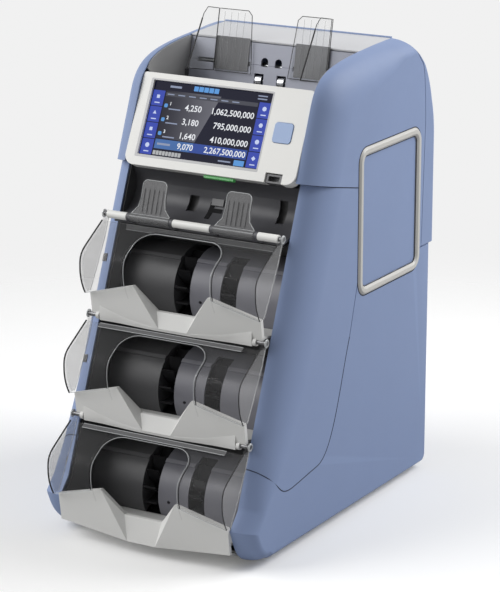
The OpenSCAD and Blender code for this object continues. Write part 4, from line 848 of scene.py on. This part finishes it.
def make_picture():
    """Counts and totals in a plain layout: tiles down both sides, three rows of figures and a total."""
    left, right, top = SCREEN_X, SCREEN_X + SCREEN_W, SCREEN_H
    side, gap, rim, head_h = 15.2, 0.9, 0.8, 12
    inner0, inner1 = left + side + 2.4, right - side - 2.4
    band_low, band_high = 9.2, 20.0
    tile_h = (top - head_h - 3 * gap) / 4
    tiles, icons = [], []
    for i in range(4):
        y0 = 1.2 + i * (tile_h + gap)
        for kind, x0 in ((i, left + rim), (i + 4, right - side - rim)):
            tiles.append(patch(x0, y0, x0 + side, y0 + tile_h, TILE_Z))
            icons.append(icon(kind, x0 + side / 2, y0 + tile_h * 0.60))
            icons.append(patch(x0 + 4.2, y0 + 3.0, x0 + side - 4.2, y0 + 4.2, MARK_Z, 0.5))
    show("picture_ground", patch(left + 0.1, 0.1, right - 0.1, top - 0.1, GROUND_Z),
         lit("picture_ground", (0.0045, 0.005, 0.018)))
    show("picture_tiles", stack(tiles), lit("picture_tile", (0.038, 0.066, 0.40)))
    show("picture_icons", stack(icons), lit("picture_icon", (0.55, 0.62, 0.85)))
    # Painted reflection: a lighter patch with a slanted edge, fading towards the left, stands for glare that
    # the glossy glass reflects over the picture.
    reflection_outline = [(inner0, 21), (inner0 + 50, 21), (inner0 + 71, top - 10), (inner0, top - 10)]
    reflection_fade = (0.016, 0.016, 0.026), -0.082, -0.004
    show("picture_reflection", shape_patch(reflection_outline, REFLECTION_Z),
         lit("picture_reflection", (0.125, 0.126, 0.150), shade=0.2, fade=reflection_fade))
    show("picture_band", patch(inner0, band_low, inner1, band_high, BAND_Z),
         lit("picture_band", (0.029, 0.066, 0.29), shade=0.25))
    # Painted reflection: a lighter patch on the band that carries on the slanted edge of the same glare.
    sheen = [(inner0, band_low), (inner0 + 45.5, band_low), (inner0 + 49.6, band_high), (inner0, band_high)]
    show("picture_band_reflection", shape_patch(sheen, TILE_Z), lit("picture_band_reflection", (0.058, 0.145, 0.37), shade=0.25))
    show("picture_head", patch(inner0, top - 16.5, inner1, top - head_h, BAND_Z),
         lit("picture_head", (0.060, 0.062, 0.078)))
    chips = [patch(x, top - 7.4, x + 5.8, top - 1.8, CHIP_Z) for x in left + 52 + 6.6 * np.arange(5)]
    chips.append(patch(inner1 - 14, 1.4, inner1 - 1, 7.6, CHIP_Z))
    chips += [patch(inner0 + 1, y, inner0 + 5.5, y + 4.4, CHIP_Z, 1.4) for y in (24.5, 40.5, 56.5)]
    show("picture_chips", stack(chips), lit("picture_chip", (0.10, 0.30, 0.66)))
    keys = [patch(x, 2.0, x + 3.5, 6.8, CHIP_Z) for x in inner0 + 4.1 * np.arange(9)]
    show("picture_keys", stack(keys), lit("picture_key", (0.42, 0.43, 0.44)))
    rows = [(55.5, "4,250", "1,062,500,000"), (39.5, "3,180", "795,000,000"), (23.5, "1,640", "410,000,000")]
    ends = inner0 + 50, inner1 - 1.5
    figures = [figure(count, 9.8, ends[0], y, True) for y, count, _ in rows]
    figures += [figure(total, 9.8, ends[1], y, True) for y, _, total in rows]
    figures += [figure(total, 9.4, x, 11.4, True) for total, x in zip(("9,070", "2,267,500,000"), ends)]
    figures += [figure(str(i + 1), 5.4, inner0 + 7.5, y + 4.0) for i, (y, _, _) in enumerate(rows)]
    show("picture_figures", stack(figures), lit("picture_white", (0.80, 0.82, 0.86)))
    boxes = [(inner0 + 7.5, y - 1.0, inner0 + 23, y + 0.4) for y, _, _ in rows]
    boxes += [(x, top - 14.8, x + 9, top - 13.6) for x in inner0 + 2 + 14 * np.arange(7)]
    boxes += [(inner0 + 3, 13.4, inner0 + 20, 15.8), (inner1 - 34, 3.6, inner1 - 18, 5.2),
              (left + 21, top - 6.4, left + 36, top - 4.0), (inner1 - 2, top - 4.6, inner1 + 10, top - 3.2),
              (inner1 - 2, top - 8.0, inner1 + 10, top - 6.6)]
    show("picture_marks", stack([patch(*box, MARK_Z, 0.3) for box in boxes]),
         lit("picture_mark", (0.26, 0.30, 0.42)))


# Small fittings

def visor_edge():
    """Side-view path of the visor from its hinge down to its lower end."""
    reach = VISOR_REACH
    return np.concatenate([
        [VISOR_START * SLOPE],
        bezier([[reach - 13, -25.8], [reach - 3.6, -31.8], [reach, -36], [reach, -48]], 14),
        bezier([[reach, -50], [reach, -60], [reach - 3, -70], [reach - 9, -80]], 10)])


def hem_h(x):
    """Height of the visor's lower edge over its hinge, a little above the tray's lip."""
    return -61.5 - (x - 47.8) * 18.3 / 61.8


def visor_lines():
    """Edge lines of a visor: the arch, the hem on one side, and the back and front edges of one cheek.
    Each is a list of (x, d, h) places on the sheet, drawn from the hinge."""
    dense = resample(visor_edge(), 120)
    arch_low = -(ARCH_TOP + ARCH_R) * math.sin(VISOR_SLOPE)
    front = dense[(dense[:, 1] < arch_low) & (dense[:, 1] > hem_h(ARCH_HALF))]
    side = np.column_stack([np.full(len(front), ARCH_HALF), front])[::-1]
    turn = arc((ARCH_HALF - ARCH_R, -ARCH_TOP - ARCH_R), ARCH_R, 0, 90, 12)
    bend = np.column_stack([turn[:, 0], -turn[:, 1:] * SLOPE])
    half = np.concatenate([side, bend])
    arch = np.concatenate([half, (half * [-1, 1, 1])[::-1]])
    x = np.linspace(ARCH_HALF, VISOR_HALF - 0.5, 24)
    hem = np.column_stack([x, np.interp(-hem_h(x), -dense[:, 1], dense[:, 0]), hem_h(x)])
    back = np.array([[VISOR_REACH - 18.5, -80], [VISOR_REACH - 31, -59.4], [VISOR_REACH - 50, -24], [-4, -3]])
    cheek = np.column_stack([np.full(len(back), VISOR_HALF - 1), back])
    outer = np.column_stack([np.full(len(dense), VISOR_HALF - 0.4), dense])
    return arch, hem, cheek, outer


def hung(k, places, radius):
    """A tube along places drawn from the hinge of visor k."""
    places = np.asarray(places, float)
    return tube(at_side(places[:, 0], places[:, 1] + hinge(k)[0], places[:, 2] + hinge(k)[1]), radius, 8)


def make_visor_edges(finish):
    """Bright lines of painted highlight and dark lines of painted shade where the clear sheet ends, a haze on
    its cheeks, a round cap on each hinge knuckle, and a hem bar along the top of the two lower visors, with
    two bright lines of painted highlight along it."""
    cap = [(0.4, 0), (4.2, 0), (4.8, 0.5), (4.8, 1.2), (4.0, 1.8), (3.0, 2.0), (2.6, 1.2), (0.4, 1.2)]
    flip = np.array([-1, 1, 1])
    inner_gap, bend_half, bar_half = 2.0, 40, 92
    arch, hem, cheek, outer = visor_lines()
    upright = np.abs(arch[:, 0]) > bend_half
    inward = arch + np.array([inner_gap, 0, 0]) * np.sign(arch[:, :1]) * upright[:, None]
    inward[~upright, 1:] -= inner_gap * SLOPE
    for k, body in enumerate(("visor_a", "visor_b", "visor_c")):
        # Bright lines of painted highlight along the sheet's edges.
        bright = [hung(k, arch, 0.4), hung(k, hem, 0.4), hung(k, hem * flip, 0.4), hung(k, cheek, 0.35),
                  hung(k, cheek * flip, 0.35)]
        # Dark lines of painted shade along the sheet's edges.
        dark = [hung(k, inward, 0.6), hung(k, outer, 0.65), hung(k, outer * flip, 0.9)]
        if k:
            # Two bright lines of painted highlight along the edges of the hem bar.
            for along in (12.2, 17.8):
                place = along * SLOPE + 1.7 * SLOPE_UP
                bright.append(hung(k, [[-bar_half, *place], [bar_half, *place]], 0.45))
            bar = sheet(np.stack([12 * SLOPE, 18 * SLOPE]) + 1.25 * SLOPE_UP + hinge(k), 0.5, bar_half + 0.5)
            add_piece(f"visor_{k + 1}_hem", bar, body, finish["hem_haze"])
        rim = np.concatenate([outer[:, 1:], cheek[:, 1:]]) + hinge(k)
        plate = slab(rim, VISOR_HALF + 0.05, VISOR_HALF + 0.25)
        cheeks = stack([plate, mirrored(plate)])
        add_piece(f"visor_{k + 1}_cheeks", cheeks, body, finish["cheek_haze"])
        for s in (-1, 1):
            def place(x, y, z, s=s, k=k):
                """Points on the outer end of a knuckle."""
                return at_side(s * (VISOR_HALF + 1.4 + z), hinge(k)[0] + x, hinge(k)[1] + y)
            bright.append(lathe(cap, place, 20))
        add_piece(f"visor_{k + 1}_edge", stack(bright), body, finish["edge_highlight"])
        add_piece(f"visor_{k + 1}_line", stack(dark), body, finish["edge_shade"])


def make_pocket_rail(finish):
    """A flat rail across the first pocket under its hinge rod, with a bright line of painted highlight on both
    its edges.
    """
    half, thick = 96.0, 2.5
    top, low = np.array([-15.8, -13.6]), np.array([-14.4, -19.4])
    outline = hinge(0) + np.array([top, low, low - [thick, 0], top - [thick, 0]])
    # Bright lines of painted highlight along both edges of the rail.
    lines = [hung(0, [[-half, *edge], [half, *edge]], 0.4) for edge in (top, low)]
    add_piece("pocket_rail", slab(outline, -half, half), "chassis", finish["hem_haze"])
    add_piece("pocket_rail_edges", stack(lines), "chassis", finish["edge_highlight"])


def make_tray_aprons(finish):
    """The lower edge of the two upper trays: their sloping front face carried on below the hinge rod.

    The face lies further back in proportion to the distance from the middle, and leans forward as it rises.
    Near the ends it is led outwards, so that it stays clear in front of the rod."""
    count, steps, half = 57, 10, 98
    bottom, thick, proud, clear = -4.6, 0.9, 0.25, 3.5
    face_mid, face_sweep, face_lean, notch_half = 9.75, 0.0858, 0.15, 25
    x = np.linspace(-half, half, count)[:, None]
    across, drop = np.abs(x), np.linspace(0, 1, steps)
    top = np.interp(across, [30, 60, half], [-0.5, 2.5, 12.0])
    h = top + (bottom - top) * drop
    face = face_mid - face_sweep * np.maximum(across, notch_half)
    led = np.maximum(clear - face, 0) * np.clip((top - h) / np.maximum(top, 1), 0, 1)
    d = face + face_lean * h + 0.05 + proud * np.minimum(4 * drop, 1) + led
    loop_d, loop_h = np.concatenate([d, d[:, ::-1] - thick], 1), np.concatenate([h, h[:, ::-1]], 1)
    faces = grid_quads(count, 2 * steps, wrap_cols=True).tolist() + end_caps(count, 2 * steps)
    for k in (1, 2):
        points = at_side(x, hinge(k)[0] + loop_d, hinge(k)[1] + loop_h).reshape(-1, 3)
        add_piece(f"tray_{k}_apron", (points, faces), "chassis", finish["tray_grey"])


def make_finger_edges(finish):
    """Bright lines of painted highlight round the two smoked fingers: the outline of the plate, on its front
    face, and two lines along the hub. The outline has u across and v up the leaning plate."""
    lean, foot, top, tall, r = math.radians(18), 24.7, 15.5, 43.5, 6.0
    hub_half, hub_r, proud = 25, 4.9, 1.4
    half = np.concatenate([[[foot, 5], [top + 2, 13], [top, 24]], arc((top - r, tall - r), r, 0, 90, 8)])
    rim = np.concatenate([half, (half * [-1, 1])[::-1]])
    up, out = np.array([-math.sin(lean), math.cos(lean)]), np.array([math.cos(lean), math.sin(lean)])
    spots = hub_r * np.array([[math.cos(turn), math.sin(turn)] for turn in np.radians([35, 80])])
    for side, s in (("left", -1), ("right", 1)):
        mid = s * FINGER_X
        lines = [hung(0, np.column_stack([mid + rim[:, 0], rim[:, 1:] * up + proud * out]), 0.5)]
        lines += [hung(0, [[mid - hub_half, *spot], [mid + hub_half, *spot]], 0.45) for spot in spots]
        add_piece(f"{side}_finger_edge", stack(lines), f"{side}_finger", finish["edge_highlight"])


def chute_run(n):
    """Side-view curve of the reject chute from under the display to its lip, in n steps."""
    lip = hinge(0) - [9.5, 7.6]
    return bezier([SCREEN_AT + [-10, -17.5], SCREEN_AT + [-26, -40.7], lip - [44, -3], lip], n)


def make_chute_slots(finish):
    """Two black slots in the reject chute between the fingers, drawn as black strips of painted shade in place
    of their dark openings, and a small tab that stands over one.
    Each follows the chute's own eight straight stretches."""
    run = resample(chute_run(8), 121)
    step = np.gradient(run, axis=0)
    normal = np.stack([-step[:, 1], step[:, 0]], 1) / np.linalg.norm(step, axis=1)[:, None]
    normal = normal * np.sign(normal[len(run) // 2, 0])
    rise = run[:, 1] - hinge(0)[1]
    sunk, slot_proud, tab_proud = 0.3, 0.6, 2.2

    def strip(low, high, x0, x1, proud):
        """A strip on the chute between two heights over the hinge."""
        keep = (rise >= low) & (rise <= high)
        line, away = run[keep], normal[keep]
        return slab(np.concatenate([line - sunk * away, (line + proud * away)[::-1]]), x0, x1)

    # Black strips of painted shade stand for the dark openings of the slots.
    slots = [strip(-1, 15, -8, -2.5, slot_proud), strip(5, 9, -2.5, 9, slot_proud)]
    add_piece("chute_slots", stack(slots), "chassis", finish["black_rubber"])
    # The tab takes the dark grey made for the ridges' painted highlight.
    add_piece("chute_tab", strip(11, 19, -6, 9, tab_proud), "chassis", finish["ridge_dark"])


def make_hood_bead(finish):
    """A round blue bead along the rear edge of the top cover."""
    line = at_side(np.linspace(-HALF_BAY, HALF_BAY, 24), HOOD_TOP[0] - 1.0, BODY_H + 0.4)
    add_piece("hood_bead", tube(line, 1.3, 12), "hood", finish["painted_blue"])


def make_guide_edges(finish):
    """Dark edge lines of painted shade on the two clear note guides, round the plate and round the fence, and
    ribs on the plate.
    """
    inner, out, drop, tall, z = 30.0, 74.0, 11.0, 71.0, 1.5
    high, side_points = tall - drop, 12
    plate = np.array([[inner - 6, -drop], [out, -drop], [out, high], [inner + 5, high], [inner, high - 5]])
    plate = np.column_stack([plate, np.full(len(plate), z + 1)])
    fence = np.array([[0, -drop], [58, -drop], [34, high - 8], [26, high], [0, high]])
    fence = np.column_stack([np.full(len(fence), out - 1), fence[:, 1], fence[:, 0] + z + 2])
    plate, fence = refine(plate, side_points), refine(fence, side_points)
    front = fence[side_points:2 * side_points]
    rib_x = inner + (out - inner) * np.array([0.2, 0.4, 0.6, 0.8])
    for side, s in (("left", -1), ("right", 1)):
        lines = [tube(on_wall(s * p[:, 0], p[:, 1], p[:, 2]), r, 8, closed)
                 for p, r, closed in ((plate, 0.45, True), (fence, 0.45, True), (front, 0.85, False))]
        add_piece(f"{side}_guide_edge", stack(lines), f"{side}_guide", finish["edge_shade"])
        ribs = [tube(on_wall(s * x, np.array([-8.0, 57.0]), z + 2.1), 0.35, 6) for x in rib_x]
        add_piece(f"{side}_guide_ribs", stack(ribs), f"{side}_guide", finish["rib_faint"])


def refine(loop, n):
    """A closed loop of straight sides with n points on each side."""
    t = np.linspace(0, 1, n, endpoint=False)[None, :, None]
    return (loop[:, None] * (1 - t) + np.roll(loop, -1, 0)[:, None] * t).reshape(-1, 3)


def make_inner_plates(finish):
    """Dark plates inside: one behind the reject chute, one over each rounded guide to the tray above, and
    one behind the vents of the rear panel."""
    half, frame_half, thick = 106.0, 107.9, 1.2
    parts = [sheet(chute_run(20) - [6, 6], 1.0, half)]
    for k, rise in enumerate((42.0, 33.0, 33.0)):
        foot = peak(k) + GUIDE_FROM_PEAK + [-4, 46.5]
        parts.append(sheet(foot + np.array([[0, 0], [4, rise / 2], [10, rise]]), thick, half))
    parts.append(sheet([[10.0, 100.0], [10.0, 181.0], [10.0, 262.0]], thick, frame_half))
    add_piece("inner_plates", stack(parts), "chassis", finish["charcoal"])


def make_ridge_highlights(finish):
    """A low flat strip along the top of the ridge of each rounded guide, lighter than the guide: painted
    highlight where light falls on the ridge's top.
    """
    turn, half, rise = math.radians(52), 2.4, 0.3
    out, along = np.array([math.cos(turn), math.sin(turn)]), np.array([-math.sin(turn), math.cos(turn)])
    strip = np.array([-half * along, -half * along + rise * out, half * along + rise * out, half * along])
    for tone, slot, spans in (("dark", "charcoal", [(-107.5, -41)]),
                              ("grey", "guide_grey", [(-19, 19), (41, 107.5)])):
        parts = [slab(peak(k) + GUIDE_FROM_PEAK + RIDGE_R * out + strip, x0, x1)
                 for k in range(3) for x0, x1 in spans]
        add_piece(f"{tone}_ridges", stack(parts), "chassis", finish[f"ridge_{tone}"])


def make_bevel_shade(finish):
    """A flat grey border round the display window: painted shade standing for the darker inner bevel of the
    bezel round the glass.
    """
    x0, x1 = SCREEN_X, SCREEN_X + SCREEN_W
    outer = round_rect(x0 - 3.2, -3.0, x1 + 1.8, SCREEN_H + 2.0, 1.6)
    inner = round_rect(x0, 0, x1, SCREEN_H, 0.3)
    loops = [on_screen(*p.T, BEZEL_PROUD + z)
             for p, z in ((outer, -0.05), (outer, 0.06), (inner, 0.06), (inner, -0.6))]
    shape = np.concatenate(loops), grid_quads(4, len(outer), wrap_rows=True, wrap_cols=True).tolist()
    add_piece("display_bevel_shade", shape, "chassis", finish["bevel_shade"])


def front_roll_point(h, turn, proud):
    """A point on the rolled front edge of the right cover: it starts on the leaning front line at height
    h and has rolled through an angle, and stands proud of the surface."""
    back = FRONT_ROLL * (1 - np.cos(turn)) - proud * np.cos(turn)
    x = HALF_BAY + (COVER_T + proud) * np.sin(turn)
    return at_side(x, front_d(h) - back * FRONT_OUT[0], h - back * FRONT_OUT[1])


def make_pads(finish):
    """Small grey rest pads for the visors on the rolled front edge of the left covers."""
    rows, cols, below_hinge, half = 5, 8, 52, 4.2
    turn = np.radians(np.linspace(12, 33, cols))[None, :]
    n = rows * cols
    grid = np.arange(n).reshape(rows, cols)
    rim = np.concatenate([grid[0], grid[1:, -1], grid[-1, -2::-1], grid[-2:0:-1, 0]])
    after = np.roll(rim, -1)
    top = grid_quads(rows, cols)
    faces = np.concatenate([top[:, ::-1], top + n, np.stack([rim, after, after + n, rim + n], 1)]).tolist()
    parts = []
    for k in range(3):
        h = np.linspace(-half, half, rows)[:, None] + hinge(k)[1] - below_hinge
        skins = [front_roll_point(h, turn, proud).reshape(-1, 3) for proud in (-0.5, 1.0)]
        parts.append(mirrored((np.concatenate(skins), faces)))
    add_piece("visor_pads", stack(parts), "chassis", finish["charcoal"], bevel=0.4)


def make_rear_screws(finish):
    """Pan-head screws with a sunk middle down both sides of the rear panel."""
    head = [(0.3, 0.5), (1.3, 0.7), (1.4, 1.5), (2.4, 1.6), (3.0, 1.1), (3.2, 0.0)]
    parts = []
    for h0 in (20, 140, 255):
        for x0 in (-98, 98):
            def place(x, y, z, x0=x0, h0=h0):
                """Points on the rear panel round the screw's middle."""
                return at_side(x0 + x, -z, h0 + y)
            parts.append(lathe(head, place, 20))
    add_piece("rear_screws", stack(parts), "chassis", finish["steel"])


def make_lamps():
    """A large key box at the front left and another behind on the right."""
    make_lamp("key", (-2.25, -1.60, 2.15), (0, 0, 0.28), 2.6, 100)
    make_lamp("side", (1.20, 1.00, 1.45), (0, 0, 0.40), 1.4, 35)


make_camera()
make_world()
make_lamps()
make_floor()
bpy.context.scene.view_settings.view_transform = "Standard"
FINISH = make_finishes()
dress_cad(FINISH)
make_covers(FINISH)
make_hood(FINISH)
make_seam_lines(FINISH)
make_picture()
make_pads(FINISH)
make_visor_edges(FINISH)
make_pocket_rail(FINISH)
make_tray_aprons(FINISH)
make_finger_edges(FINISH)
make_chute_slots(FINISH)
make_hood_bead(FINISH)
make_guide_edges(FINISH)
make_inner_plates(FINISH)
make_ridge_highlights(FINISH)
make_bevel_shade(FINISH)
make_rear_screws(FINISH)
